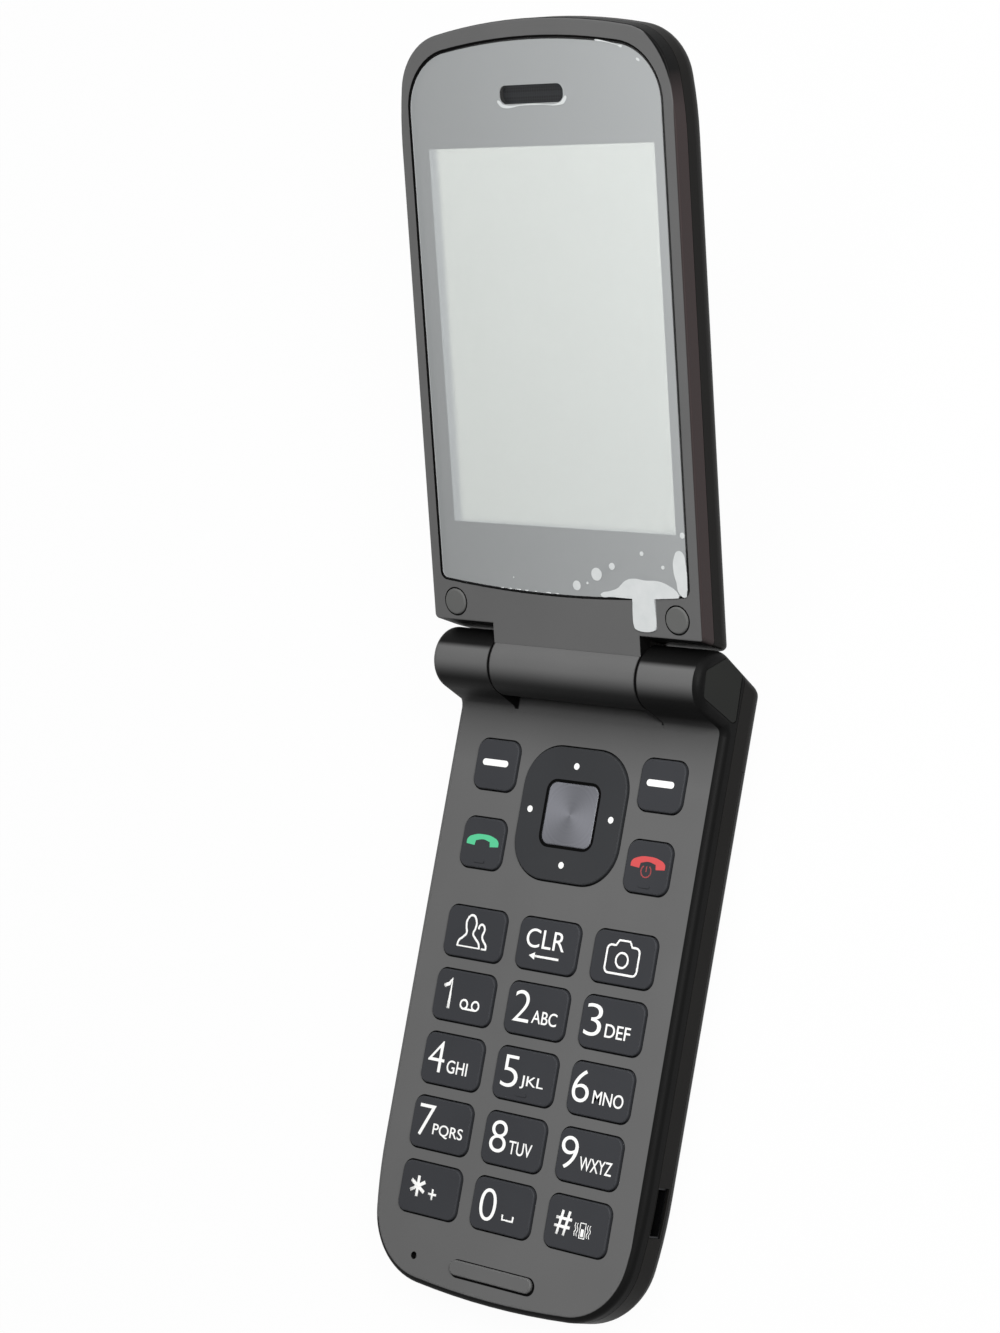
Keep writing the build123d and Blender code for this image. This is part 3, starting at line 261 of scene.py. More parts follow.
# Paint and painted shade on the keypad and the knuckles: near the hinge the keypad darkens as painted shade, in front
# the knuckles fade to black as painted shade, and behind them they turn black
def paintAndShadeOnBase(tree, place):
    split = addNode(tree, "SeparateXYZ", {}, {0: place}).outputs
    turn = turnFromFront(tree, place)
    front = remap(tree, turn, *map(radians, spray["knuckleFront"]), smooth=True)
    rear = remap(tree, turn, *map(radians, spray["knuckleRear"]), smooth=True)
    knuckles = calculate(tree, "MULTIPLY", calculate(tree, "MULTIPLY", front, rear), paintedJointShade(tree, split[0]))
    shadeStart, end = metres((spray["keypadShadeStart"], spray["keypadEnd"]))
    below = calculate(tree, "LESS_THAN", split[1], end)
    shadedNearHinge = remap(tree, split[1], shadeStart, end, 1.0, spray["keypadShadeLeast"])
    return calculate(tree, "MAXIMUM", knuckles, calculate(tree, "MULTIPLY", below, shadedNearHinge))


def startSprayed(name):
    paint = finishes["facePaint"]
    material, tree, shader = startMaterial(name, paint[0], 0.55, Specular_IOR_Level=finishes["paintSheen"])
    painted = addGrain(tree, shader, paint, spray["grainSize"], spray["grainHeight"], spray["roughness"])
    return material, tree, shader, painted, pointOf(tree)


# Moulded ABS under a sprayed matt paint. The spray comes from above, so the eye gets an even mid grey with the finest
# sparkle on top.
# Where the paint stops, near black shows as painted shade: on the rims and walls, under the hinge and at the lid's
# right far corner.
# The paint reaches lower on the left rim as painted light and stops short of the right rim. edge holds the lowest
# painted height at the left rim and elsewhere, from origin along normal.
def sprayedAbs(name, wallColour, edge, normal, origin, shadeRightFrom, onLid):
    material, tree, shader, painted, place = startSprayed(name)
    across = acrossOf(tree, place)
    # Painted shade below this height, and painted light where the left rim's paint reaches lower; on the right the
    # paint stops short as painted shade
    lowest = remap(tree, across, *metres(spray["litLeftRim"]), *metres(edge))
    over = calculate(tree, "SUBTRACT", distanceAlong(tree, place, origin, normal), lowest)
    above = remap(tree, over, *metres((-spray["heightSoftness"], spray["heightSoftness"])))
    share = calculate(tree, "MULTIPLY", above, inside(tree, across, shadeRightFrom, spray["rightSoftness"]))
    if onLid:
        reached = unshadedCorner(tree, across, distanceAlong(tree, place, origin, lidAlong))
    else:
        reached = paintAndShadeOnBase(tree, place)
    share = calculate(tree, "MULTIPLY", share, reached)
    # Beyond the rim the walls take wallColour: on the lid dark ABS with a brownish painted reflection, after a black
    # band of painted shade on the rounding
    wall = remap(tree, calculate(tree, "ABSOLUTE", across), *metres(spray["wall"]))
    under = mixColours(tree, wall, finishes["paintedShadeAbs"], wallColour)
    tree.links.new(mixColours(tree, share, under, painted), shader.inputs["Base Color"])
    return material


# The barrel is sprayed as well; on the side that faces the keys when the lid is open it fades to near black as painted
# shade
def barrelPaintAndShade():
    material, tree, shader, painted, place = startSprayed("sprayedAbsBarrelAndShade")
    share = remap(tree, turnFromFront(tree, place), *map(radians, spray["barrelFront"]), spray["barrelShadeLeast"], 1.0,
                  smooth=True)
    reached = calculate(tree, "MULTIPLY", share, paintedJointShade(tree, acrossOf(tree, place)))
    tree.links.new(mixColours(tree, reached, finishes["paintedShadeAbs"], painted), shader.inputs["Base Color"])
    return material


# Moulded plastics: two ends of the colour, width and depth of the grain, and two ends of the roughness
def mouldedPlastic(name, colours, grainSize, height, roughness, **sockets):
    sockets.setdefault("Specular_IOR_Level", finishes["plasticSheen"])
    material, tree, shader = startMaterial(name, colours[0], roughness[0], **sockets)
    addGrain(tree, shader, colours, grainSize, height, roughness)
    return material


metalLines = {
    "width": 0.12,
    "length": 6,
}


# Drawn or stamped metal: fine lines along one axis, from the rolling of the sheet
def stampedMetal(name, colours, lineAxis, roughness):
    material, tree, shader = startMaterial(name, colours[0], roughness[0], Metallic=1.0)
    stretch = [1 / (metalLines["width"] * mm)] * 3
    stretch[lineAxis] = 1 / (metalLines["length"] * mm)
    mapped = addNode(tree, "Mapping", {"Scale": stretch}, {"Vector": pointOf(tree)})
    lines = addNode(tree, "TexNoise", {"Scale": 1.0, "Detail": 2.0}, {"Vector": mapped.outputs[0]}).outputs["Fac"]
    tree.links.new(mixColours(tree, lines, *colours), shader.inputs["Base Color"])
    tree.links.new(remap(tree, lines, 0, 1, *roughness), shader.inputs["Roughness"])
    return material


# Sprayed ABS of the keypad face and of the lid's frame
keypadPaint = sprayedAbs("sprayedAbsKeypad", finishes["paintedShadeAbs"], edge=(8.2, 8.96), normal=(0, 0, 1),
                         origin=(0, 0, 0), shadeRightFrom=25.55, onLid=False)
lidPaint = sprayedAbs("sprayedAbsLid", finishes["lidWallAbsPaintedSheen"], edge=(3.0, 3.12), normal=lidNormal,
                      origin=hingePoint, shadeRightFrom=26.6, onLid=True)
barrelPaint = barrelPaintAndShade()
# ABS moulded against a spark-eroded steel tool: near black, with a soft sheen on its rounded rim
housingAbs = mouldedPlastic("mouldedAbsHousing", finishes["housingAbs"], 0.3, 0.012, (0.38, 0.52))
# Polycarbonate keys moulded in a finely blasted tool: a cooler and smoother dark than the face
keyPolycarbonate = mouldedPlastic("mouldedPolycarbonateKeys", finishes["keyPc"], 0.18, 0.003, (0.4, 0.5))
padPolycarbonate = mouldedPlastic("mouldedPolycarbonatePad", finishes["padPc"], 0.18, 0.003, (0.4, 0.5))
capAbs = mouldedPlastic("mouldedAbsHingeCap", ("#1b1c1b", "#20211f"), 0.3, 0.01, (0.4, 0.55))
acetal = mouldedPlastic("turnedAcetal", ("#e6e4dc", "#efede6"), 0.5, 0.002, (0.3, 0.4))
siliconeRubber = mouldedPlastic("mouldedSiliconeRubber", ("#9a9c9e", "#a6a8aa"), 0.4, 0.004, (0.55, 0.7))
bumperRubber = mouldedPlastic("mouldedRubberBumper", ("#5b5c5b", "#626261"), 0.25, 0.006, (0.6, 0.75))
speakerPlastic = mouldedPlastic("mouldedNylonSpeaker", ("#1a1b1c", "#222324"), 0.4, 0.006, (0.4, 0.55))
polyesterSheet = mouldedPlastic("pressedPolyesterSheet", ("#dcdcd6", "#e6e6e0"), 0.6, 0.002, (0.25, 0.35))
polyimideFlex = mouldedPlastic("laminatedPolyimideFlex", ("#b0691c", "#c27a28"), 0.5, 0.003, (0.25, 0.35))
aluminiumCan = stampedMetal("drawnAluminiumCan", ("#b9bbbd", "#c9cbcc"), 1, (0.32, 0.45))
nickelSteel = stampedMetal("stampedNickelledSteel", ("#9d9c98", "#b5b4b0"), 0, (0.28, 0.4))
darkSteel = stampedMetal("blackenedSteel", ("#2a2a2b", "#38383a"), 1, (0.35, 0.45))
copperFoil = stampedMetal("rolledCopperFoil", ("#b8703f", "#c98552"), 0, (0.25, 0.35))


# Fibreglass board under green solder mask: woven glass shows as a faint square weave
def boardMaterial():
    material, tree, shader = startMaterial("laminatedFibreglassBoard", "#1d5a34", 0.35, Coat_Weight=0.4)
    squareSize = 3
    weave = addNode(tree, "TexBrick", {"Scale": 1 / (squareSize * mm), "Color1": linear("#1b5731"),
                                       "Color2": linear("#226239"), "Mortar": linear("#2b7043"),
                                       "Mortar Size": 0.03}, {"Vector": pointOf(tree)})
    tree.links.new(weave.outputs["Color"], shader.inputs["Base Color"])
    return material


board = boardMaterial()
print("opaque materials made")


# A flat sheet is shaded by its true face
def flatten(tree, shader):
    tree.links.new(addNode(tree, "NewGeometry").outputs["True Normal"], shader.inputs["Normal"])


# Lens and film show only at their outer faces: their inner ones touch what lies under them
def outerFace(tree, level):
    return calculate(tree, "GREATER_THAN", distanceAlong(tree, pointOf(tree), hingePoint, lidNormal), level * mm)


clearLens = {
    "shown": 0.015,
    "roughness": (0.04, 0.09),
    "cloudSize": 9,
    "below": 0.1,  # the shown face lies less than this under the lens's top
}


# Clear acrylic of the display lens: nearly nothing but a faint gloss over the printed mask
def acrylicLens():
    material, tree, shader = startMaterial("polishedAcrylicLens", "#d9dcda", 0.06, IOR=1.49)
    cloud = noiseOf(tree, pointOf(tree), clearLens["cloudSize"])
    tree.links.new(remap(tree, cloud, 0, 1, *clearLens["roughness"]), shader.inputs["Roughness"])
    flatten(tree, shader)
    top = outerFace(tree, phone["lensTop"] - clearLens["below"])
    tree.links.new(calculate(tree, "MULTIPLY", top, clearLens["shown"]), shader.inputs["Alpha"])
    return material


# How milky the film is, rising from its left to its right edge and from its low to its high end as painted sheen
haze = {
    "across": (-24, 24),
    "paintedSheenAcross": (0.308, 0.378),
    "along": (20, 75),
    "paintedSheenAlong": (0.95, 1.05),
    "clouds": (0.99, 1.01),
    "cloudSize": 11,
    "roughness": (0.29, 0.3),
    "above": 0.06,  # the shown face lies more than this over the lens
}


# Polyethylene film, blown and rolled on: its outer face lays a milky haze over the black mask
def hazyFilm():
    material, tree, shader = startMaterial("blownPolyethyleneFilm", "#ecf0f1", 0.3, IOR=1.5)
    place = pointOf(tree)
    cloud = noiseOf(tree, place, haze["cloudSize"], detail=4.0, roughness=0.7)
    along = distanceAlong(tree, place, hingePoint, lidAlong)
    paintedSheenAcross = remap(tree, acrossOf(tree, place), *metres(haze["across"]), *haze["paintedSheenAcross"])
    paintedSheenAlong = remap(tree, along, *metres(haze["along"]), *haze["paintedSheenAlong"])
    clouds = remap(tree, cloud, 0, 1, *haze["clouds"])
    milk = calculate(tree, "MULTIPLY", calculate(tree, "MULTIPLY", paintedSheenAcross, paintedSheenAlong), clouds)
    top = outerFace(tree, phone["lensTop"] + haze["above"])
    tree.links.new(calculate(tree, "MULTIPLY", milk, top), shader.inputs["Alpha"])
    flatten(tree, shader)
    tree.links.new(remap(tree, cloud, 0, 1, *haze["roughness"]), shader.inputs["Roughness"])
    return material


# The same film where air has got under it: it turns nearly white
def liftedFilm():
    material, tree, shader = startMaterial("liftedPolyethyleneFilm", "#d8dada", 0.25, IOR=1.5)
    crease = noiseOf(tree, pointOf(tree), 1.6, detail=2.0)
    tree.links.new(mixColours(tree, crease, "#c3c7c7", "#d1d3d3"), shader.inputs["Base Color"])
    bump = addNode(tree, "Bump", {"Strength": 0.4, "Distance": 0.05 * mm}, {"Height": crease})
    tree.links.new(bump.outputs[0], shader.inputs["Normal"])
    return material


# Screen-printed ink: an even, flat colour with a trace of the mesh's orange peel
def printedInk(name, colour, roughness=0.5):
    material, tree, shader = startMaterial(name, colour, roughness)
    peel = noiseOf(tree, pointOf(tree), 0.4)
    flat = addNode(tree, "NewGeometry").outputs["True Normal"]
    bump = addNode(tree, "Bump", {"Strength": 0.2, "Distance": 0.004 * mm}, {"Height": peel, "Normal": flat})
    tree.links.new(bump.outputs[0], shader.inputs["Normal"])
    return material


picture = {
    "leftFade": (-21.2, -19.6),
    "bottomFade": (22.6, 24.0),
    "height": (22, 80),
    "colours": ("#d5dad3", "#dfe4dc"),
    "maskShadowGrey": "#9da2a3",
}


# The display, switched off: a pale polariser over the cell, lighter towards the top as painted light, with a greyer
# band on the left and at the bottom as painted shadow of the mask's edge
def displayGlass():
    material, tree, shader = startMaterial("laminatedDisplayGlass", "#d8dbd7", 0.35)
    place = pointOf(tree)
    along = distanceAlong(tree, place, hingePoint, lidAlong)
    leftSide = remap(tree, acrossOf(tree, place), *metres(picture["leftFade"]), smooth=True)
    bottom = remap(tree, along, *metres(picture["bottomFade"]))
    shown = calculate(tree, "MULTIPLY", leftSide, bottom)
    pale = mixColours(tree, remap(tree, along, *metres(picture["height"])), *picture["colours"])
    tree.links.new(mixColours(tree, shown, picture["maskShadowGrey"], pale), shader.inputs["Base Color"])
    return material


# Spun aluminium of the select key: fine turning rings under a painted reflection, lighter on two opposite sides of the
# middle and darker on the two between
def spunAluminium():
    material, tree, shader = startMaterial("spunAluminiumPlate", "#77787d", 0.4, Specular_IOR_Level=0.25)
    centre = Vector((*phone["padCentre"], 0)) * mm
    away = addNode(tree, "VectorMath", {"operation": "SUBTRACT", 1: centre}, {0: pointOf(tree)}).outputs[0]
    split = addNode(tree, "SeparateXYZ", {}, {0: away})
    angle = calculate(tree, "ARCTAN2", split.outputs[1], split.outputs[0])
    bowtieReflection = calculate(tree, "COSINE", calculate(tree, "ADD", calculate(tree, "MULTIPLY", angle, 2.0), 0.5))
    flat = addNode(tree, "CombineXYZ", {}, {0: split.outputs[0], 1: split.outputs[1]}).outputs[0]
    far = addNode(tree, "VectorMath", {"operation": "LENGTH"}, {0: flat}).outputs["Value"]
    rings = addNode(tree, "TexNoise", {"noise_dimensions": "1D", "Scale": 1 / (0.35 * mm), "Detail": 2.0},
                    {"W": far}).outputs["Fac"]
    mixed = calculate(tree, "MULTIPLY_ADD", rings, 0.3, remap(tree, bowtieReflection, -1, 1, 0, 0.8))
    tree.links.new(mixColours(tree, mixed, "#5a5b60", "#75767c"), shader.inputs["Base Color"])
    tree.links.new(remap(tree, rings, 0, 1, 0.32, 0.46), shader.inputs["Roughness"])
    return material


# Woven steel gauze behind the earpiece slot, blackened: a grid of tiny holes
def blackGauze():
    material, tree, shader = startMaterial("wovenSteelGauze", "#17181a", 0.5, Metallic=0.4)
    cells = addNode(tree, "TexVoronoi", {"Scale": 1 / (0.45 * mm), "Randomness": 0.0}, {"Vector": pointOf(tree)})
    tint = mixColours(tree, cells.outputs["Distance"], "#0a0a0b", "#2b2d30")
    tree.links.new(tint, shader.inputs["Base Color"])
    return material


lens = acrylicLens()
film = hazyFilm()
filmWhite = liftedFilm()
maskInk = printedInk("screenPrintedMaskInk", "#161616", 0.4)
whiteInk = printedInk("screenPrintedWhiteInk", "#f4f4f2")
greenInk = printedInk("screenPrintedGreenInk", "#4dba88")
redInk = printedInk("screenPrintedRedInk", "#c24546")
dimRedInk = printedInk("screenPrintedDimRedInk", "#8e3638")
# Painted shade in the seams round the lens, the bumpers, the rest bar and the select plate: flat black sheets
seamShade = mouldedPlastic("paintedSeamShade", ("#0c0c0c", "#0f0f0f"), 0.2, 0.001, (0.9, 1.0), Specular_IOR_Level=0.0)
display = displayGlass()
selectMetal = spunAluminium()
gauze = blackGauze()
# Tinted glass of the camera window, coated black behind: a deep mirror-like black
tintedGlass = mouldedPlastic("polishedTintedGlass", ("#08090a", "#0c0d0e"), 2.0, 0.0005, (0.06, 0.1), Coat_Weight=0.6)
clearFlash = mouldedPlastic("mouldedFlashLens", ("#e9e2c4", "#f3edd4"), 0.8, 0.01, (0.12, 0.2))
lightGuide = mouldedPlastic("mouldedLightGuide", ("#e9ebea", "#f2f3f2"), 1.0, 0.002, (0.2, 0.3))

nodeMaterials = {
    "base_front_panel": keypadPaint, "lid_front_frame": lidPaint, "lid_hinge_barrel": barrelPaint,
    "base_rear_housing": housingAbs, "battery_cover": housingAbs, "lid_rear_cover": housingAbs,
    "hinge_cap_left": capAbs, "hinge_cap_right": capAbs,
    "direction_pad": padPolycarbonate, "direction_pad_carrier": acetal, "select_key": selectMetal,
    "battery": aluminiumCan, "battery_contacts": speakerPlastic, "main_board": board, "lid_board": board,
    "dome_sheet": polyesterSheet, "key_mat": siliconeRubber, "charging_socket": darkSteel,
    "microphone": aluminiumCan, "sim_holder": nickelSteel, "vibration_motor": nickelSteel,
    "loudspeaker": speakerPlastic, "antenna": copperFoil, "base_screws": nickelSteel, "lid_screws": nickelSteel,
    "hinge_cam": nickelSteel, "hinge_bush": acetal, "hinge_cartridge": nickelSteel, "hinge_spring": nickelSteel,
    "hinge_flex": polyimideFlex, "display_lens": lens, "protective_film": film, "display_panel": display,
    "backlight": lightGuide, "earpiece_mesh": gauze, "earpiece": speakerPlastic,
    "camera_module": speakerPlastic, "camera_window": tintedGlass, "flash_lens": clearFlash,
    "lid_bumpers": bumperRubber,
}
for name, node in nodes.items():
    node.data.materials.clear()
    node.data.materials.append(nodeMaterials.get(name, keyPolycarbonate))
print("materials set on the frame's pieces")


# A curve or text object turned into a plain mesh
def curveToMesh(curve):
    carrier = bpy.data.objects.new("carrier", curve)
    bpy.context.scene.collection.objects.link(carrier)
    bpy.context.view_layer.update()
    made = bpy.data.meshes.new_from_object(carrier.evaluated_get(bpy.context.evaluated_depsgraph_get()))
    bpy.data.objects.remove(carrier)
    bpy.data.curves.remove(curve)
    return made


inkThickness = 0.02


# Sizes of printed shapes are millimetres until finishPrint scales them; ink is a thin raised layer
def layInk(made, thickness=inkThickness):
    heights = [v.co.z for v in made.vertices]
    bottom, top = min(heights), max(heights)
    for v in made.vertices:
        v.co.z = (v.co.z - bottom) / (top - bottom) * thickness
    return made


def glyphs(words, left, right, low, high, weight=0.0):
    curve = bpy.data.curves.new("glyphs", "FONT")
    curve.body = words
    curve.offset = weight
    curve.extrude = 0.1
    made = layInk(curveToMesh(curve))
    xs = [v.co.x for v in made.vertices]
    ys = [v.co.y for v in made.vertices]
    for v in made.vertices:
        v.co.x = left + (v.co.x - min(xs)) / (max(xs) - min(xs)) * (right - left)
        v.co.y = low + (v.co.y - min(ys)) / (max(ys) - min(ys)) * (high - low)
    return made


# Points with a third value of True are sharp corners, the others lie on a smooth curve
def addSpline(curve, points, closed):
    spline = curve.splines.new("BEZIER")
    spline.bezier_points.add(len(points) - 1)
    for knot, point in zip(spline.bezier_points, points):
        knot.co = (point[0], point[1], 0)
        kind = "VECTOR" if len(point) > 2 else "AUTO"
        knot.handle_left_type = knot.handle_right_type = kind
    spline.use_cyclic_u = closed
    spline.resolution_u = 8


def corners(*points):
    return [(x, y, True) for x, y in points]


def circle(x, y, radius, steps=8):
    return [(x + radius * cos(2 * pi * i / steps), y + radius * sin(2 * pi * i / steps)) for i in range(steps)]


def arcPoints(x, y, radius, start, end, steps):
    return [(x + radius * cos(radians(start + (end - start) * i / steps)),
             y + radius * sin(radians(start + (end - start) * i / steps)), True) for i in range(steps + 1)]


def roundedBar(x, y, length, width):
    reach, radius = (length - width) / 2, width / 2
    return arcPoints(x + reach, y, radius, -90, 90, 8) + arcPoints(x - reach, y, radius, 90, 270, 8)


def roundedSlot(x, y, width, height, corner, grow=0.0):
    halfWidth, halfHeight, r = width / 2 + grow, height / 2 + grow, corner + grow
    outline = []
    for cx, cy, start in ((1, -1, -90), (1, 1, 0), (-1, 1, 90), (-1, -1, 180)):
        outline += arcPoints(x + cx * (halfWidth - r), y + cy * (halfHeight - r), r, start, start + 90, 6)
    return outline


def strokes(width, lines, closed=False):
    curve = bpy.data.curves.new("strokes", "CURVE")
    curve.dimensions = "3D"
    curve.bevel_depth = width / 2
    curve.bevel_resolution = 2
    curve.use_fill_caps = True
    for points in lines:
        addSpline(curve, points, closed)
    return layInk(curveToMesh(curve))


def filled(outlines, thickness=inkThickness):
    curve = bpy.data.curves.new("filled", "CURVE")
    curve.dimensions = "2D"
    curve.fill_mode = "BOTH"
    curve.extrude = 0.1
    for points in outlines:
        addSpline(curve, points, True)
    return layInk(curveToMesh(curve), thickness)


# Joins the parts of one print, sets them down at a point of the base or the lid, and lets them ride
def finishPrint(name, parts, space, place, material, body):
    joined = bmesh.new()
    for part in parts:
        joined.from_mesh(part)
        bpy.data.meshes.remove(part)
    bmesh.ops.remove_doubles(joined, verts=joined.verts, dist=0.0005)
    made = bpy.data.meshes.new(name)
    joined.to_mesh(made)
    joined.free()
    made.transform(space @ Matrix.Scale(mm, 4) @ Matrix.Translation(place))
    made.materials.append(material)
    piece = bpy.data.objects.new(name, made)
    bpy.context.scene.collection.objects.link(piece)
    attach(piece, body)


baseSpace = Matrix.Identity(4)


def keyCentre(name):
    low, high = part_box(name)
    return (low.x + high.x) / 2 / mm, (low.y + high.y) / 2 / mm


def printOnKey(key, parts, ink, label="legend"):
    x, y = keyCentre(key)
    finishPrint(key + "_" + label, parts, baseSpace, (x, y, phone["keyTop"]), ink, key)


# Numerals and standard keypad letters: left and right edge of each from the key's centre, and their height
legends = {
    "numeralLow": -2.15,
    "numeralHigh": 2.85,
    "letterLow": -1.95,
    "letterHigh": 0.12,
    "letterWeight": 0.005,
    "numeralWeight": -0.012,
    "keys": {
        "number_key_2": ("2", -4.44, -1.12, "ABC", -0.53, 4.47),
        "number_key_3": ("3", -5.15, -1.85, "DEF", -0.97, 3.88),
        "number_key_4": ("4", -4.85, -1.5, "GHI", -0.8, 3.44),
        "number_key_5": ("5", -4.6, -1.26, "JKL", -0.6, 4.0),
        "number_key_6": ("6", -5.3, -2.0, "MNO", -1.1, 4.8),
        "number_key_7": ("7", -4.7, -1.4, "PQRS", -1.4, 4.8),
        "number_key_8": ("8", -4.6, -1.3, "TUV", -0.6, 4.0),
        "number_key_9": ("9", -5.4, -2.1, "WXYZ", -1.5, 4.8),
    },
}
for key, (numeral, left, right, letters, lettersLeft, lettersRight) in legends["keys"].items():
    printOnKey(key, [
        glyphs(numeral, left, right, legends["numeralLow"], legends["numeralHigh"], legends["numeralWeight"]),
        glyphs(letters, lettersLeft, lettersRight, legends["letterLow"], legends["letterHigh"],
               legends["letterWeight"]),
    ], whiteInk)

# The 1 has no foot, so it is drawn as one stroke, with the message mark beside it
printOnKey("number_key_1", [
    strokes(0.65, [corners((-4.2, 1.3), (-3.2, 1.75), (-2.72, 2.55), (-2.72, -2.15))]),
    strokes(0.35, [circle(0.44, -1.1, 0.7), circle(2.8, -1.1, 0.7)], closed=True),
    strokes(0.35, [corners((0.44, -1.8), (2.8, -1.8))]),
], whiteInk)
printOnKey("number_key_0", [
    glyphs("0", -4.35, -1.03, -2.55, 2.5, legends["numeralWeight"]),
    strokes(0.38, [corners((0.5, -1.0), (0.5, -1.8), (2.6, -1.8), (2.6, -1.0))]),
], whiteInk)
starArms = [corners((-2.4, 0.2), (-2.4 + 1.65 * cos(pi * (i / 3 + 0.5)), 0.2 + 1.65 * sin(pi * (i / 3 + 0.5))))
            for i in range(6)]
printOnKey("star_key", [
    strokes(0.6, starArms),
    strokes(0.38, [corners((-0.05, -0.6), (1.65, -0.6)), corners((0.8, 0.25), (0.8, -1.45))]),
], whiteInk)
printOnKey("hash_key", [
    strokes(0.5, [corners((-3.6, -1.9), (-2.9, 1.9)), corners((-2.3, -1.9), (-1.6, 1.9)),
                  corners((-4.1, 0.65), (-1.0, 0.65)), corners((-4.25, -0.6), (-1.2, -0.6))]),
    strokes(0.2, [corners((0.75, 0.6), (1.8, 0.6), (1.8, -1.7), (0.75, -1.7))], closed=True),
    filled([corners((1.0, -0.3), (1.55, -0.3), (1.55, -1.45), (1.0, -1.45))]),
    strokes(0.13, [[(x, 0.5), (x - 0.12, 0.05), (x + 0.1, -0.5), (x - 0.12, -1.05), (x, -1.55)]
                   for x in (-0.15, 0.28, 2.27, 2.7)]),
], whiteInk)
printOnKey("contacts_key", [
    strokes(0.38, [[(-3.1, -2.3, True), (-2.9, -1.5), (-2.1, -0.8), (-1.55, -0.1), (-1.8, 0.8), (-1.85, 1.9),
                    (-0.85, 2.8), (0.1, 1.9), (0.1, 0.8), (-0.2, -0.1), (0.4, -0.8), (1.2, -1.5), (1.5, -2.3, True)]],
            closed=True),
    strokes(0.38, [[(0.75, 0.75, True), (0.9, 1.3), (1.4, 1.55), (2.0, 0.9), (1.75, -0.3), (2.1, -1.0), (2.7, -1.6),
                    (2.85, -2.3, True), (1.9, -2.3, True)]]),
], whiteInk)
printOnKey("clear_key", [
    glyphs("CLR", -4.26, 3.47, -0.6, 2.4),
    strokes(0.38, [corners((2.7, -1.88), (-2.6, -1.88))]),
    filled([corners((-3.25, -1.88), (-2.1, -1.3), (-2.1, -2.46))]),
], whiteInk)
printOnKey("camera_key", [
    strokes(0.36, [arcPoints(2.25, -1.6, 0.8, -90, 0, 5) + arcPoints(2.25, 1.15, 0.8, 0, 90, 5)
                   + corners((1.5, 1.95), (0.95, 2.8), (-1.1, 2.8), (-1.65, 1.95))
                   + arcPoints(-2.4, 1.15, 0.8, 90, 180, 5) + arcPoints(-2.4, -1.6, 0.8, 180, 270, 5),
                   circle(-0.1, -0.25, 1.15)], closed=True),
], whiteInk)
for side, key in ((-0.15, "left_soft_key"), (-0.2, "right_soft_key")):
    printOnKey(key, [filled([roundedBar(side, 0.3, 5.3, 1.05)])], whiteInk)

# Handsets: a thin arc that ends in two thick pads, upright on the call key and on the end key
handset = [(-3.2, -0.35, True), (-3.1, 0.45), (-1.9, 1.15), (0.1, 1.4), (2.1, 1.15), (3.3, 0.45), (3.4, -0.35, True),
           (1.7, -0.5, True), (1.55, 0.3, True), (0.1, 0.6), (-1.35, 0.3, True), (-1.5, -0.5, True)]
printOnKey("call_key", [filled([handset])], greenInk)
printOnKey("end_key", [filled([[(x, y + 0.3, *rest) for x, y, *rest in handset]])], redInk)
powerArc = [(-0.1 + 0.95 * cos(radians(a)), -0.6 + 0.95 * sin(radians(a))) for a in range(125, 416, 29)]
printOnKey("end_key", [strokes(0.22, [powerArc, corners((-0.1, 0.2), (-0.1, -0.7))])], dimRedInk, "power_mark")

# Four dots on the direction pad
padX, padY = phone["padCentre"]
finishPrint("direction_pad_dots", [filled([circle(x, y, 0.52)])
            for x, y in ((-0.3, 7.75), (-8.15, 0.15), (8.15, 0.1), (0.0, -8.0))],
            baseSpace, (padX, padY, phone["keyTop"]), whiteInk, "direction_pad")

# Painted shade in the seams round the select plate, the bumpers and the rest bar: flat black rings, the rest bar's
# wider to the right and downward as its painted shadow
seams = {
    "width": 0.26,
    "selectSize": (10.0, 10.0, 1.5),
    "selectWidth": 0.46,
    "selectInner": 0.03,
    "selectLift": 0.01,
    "restBar": (0.0, -45.3, 16.6, 2.4, 1.2),
    "restBarShadowShift": (0.18, -0.1),
    "bumpers": ((-22.1, 10.2), (22.1, 10.2)),
    "bumperRadius": 2.2,
}
selectX, selectY = keyCentre("select_key")
finishPrint("select_key_seam_shade", [filled([roundedSlot(0, 0, *seams["selectSize"], seams["selectWidth"]),
                                        roundedSlot(0, 0, *seams["selectSize"], seams["selectInner"])])],
            baseSpace, (selectX, selectY, phone["keyTop"] + seams["selectLift"]), seamShade, "direction_pad")
barX, barY, *barSize = seams["restBar"]
shiftX, shiftY = seams["restBarShadowShift"]
finishPrint("rest_bar_seam_shade", [filled([roundedSlot(barX + shiftX, barY + shiftY, *barSize, seams["width"]),
                                      roundedSlot(barX, barY, *barSize, 0.0)])],
            baseSpace, (0, 0, phone["keypadFace"]), seamShade, "base")
bumperRings = [circle(x, y, seams["bumperRadius"], 16) for x, y in seams["bumpers"]]
finishPrint("bumper_seam_shades", [strokes(seams["width"], bumperRings, closed=True)],
            lidSpace, (0, 0, phone["lidFace"]), seamShade, "lid")
print("legends and seams printed")


# The mask printed under the lens, with the window left open
mask = {
    "window": (-22.05, 22.05, 23.1, 81.6),
    "slot": (0.0, 89.4, 12.4, 2.8, 1.2),
    "height": 2.31,
    "inset": 0.02,  # how far the mask's outline keeps from the lens's
    "seamWidth": 0.22,
    "seamShift": (-0.17, 0.08),
}


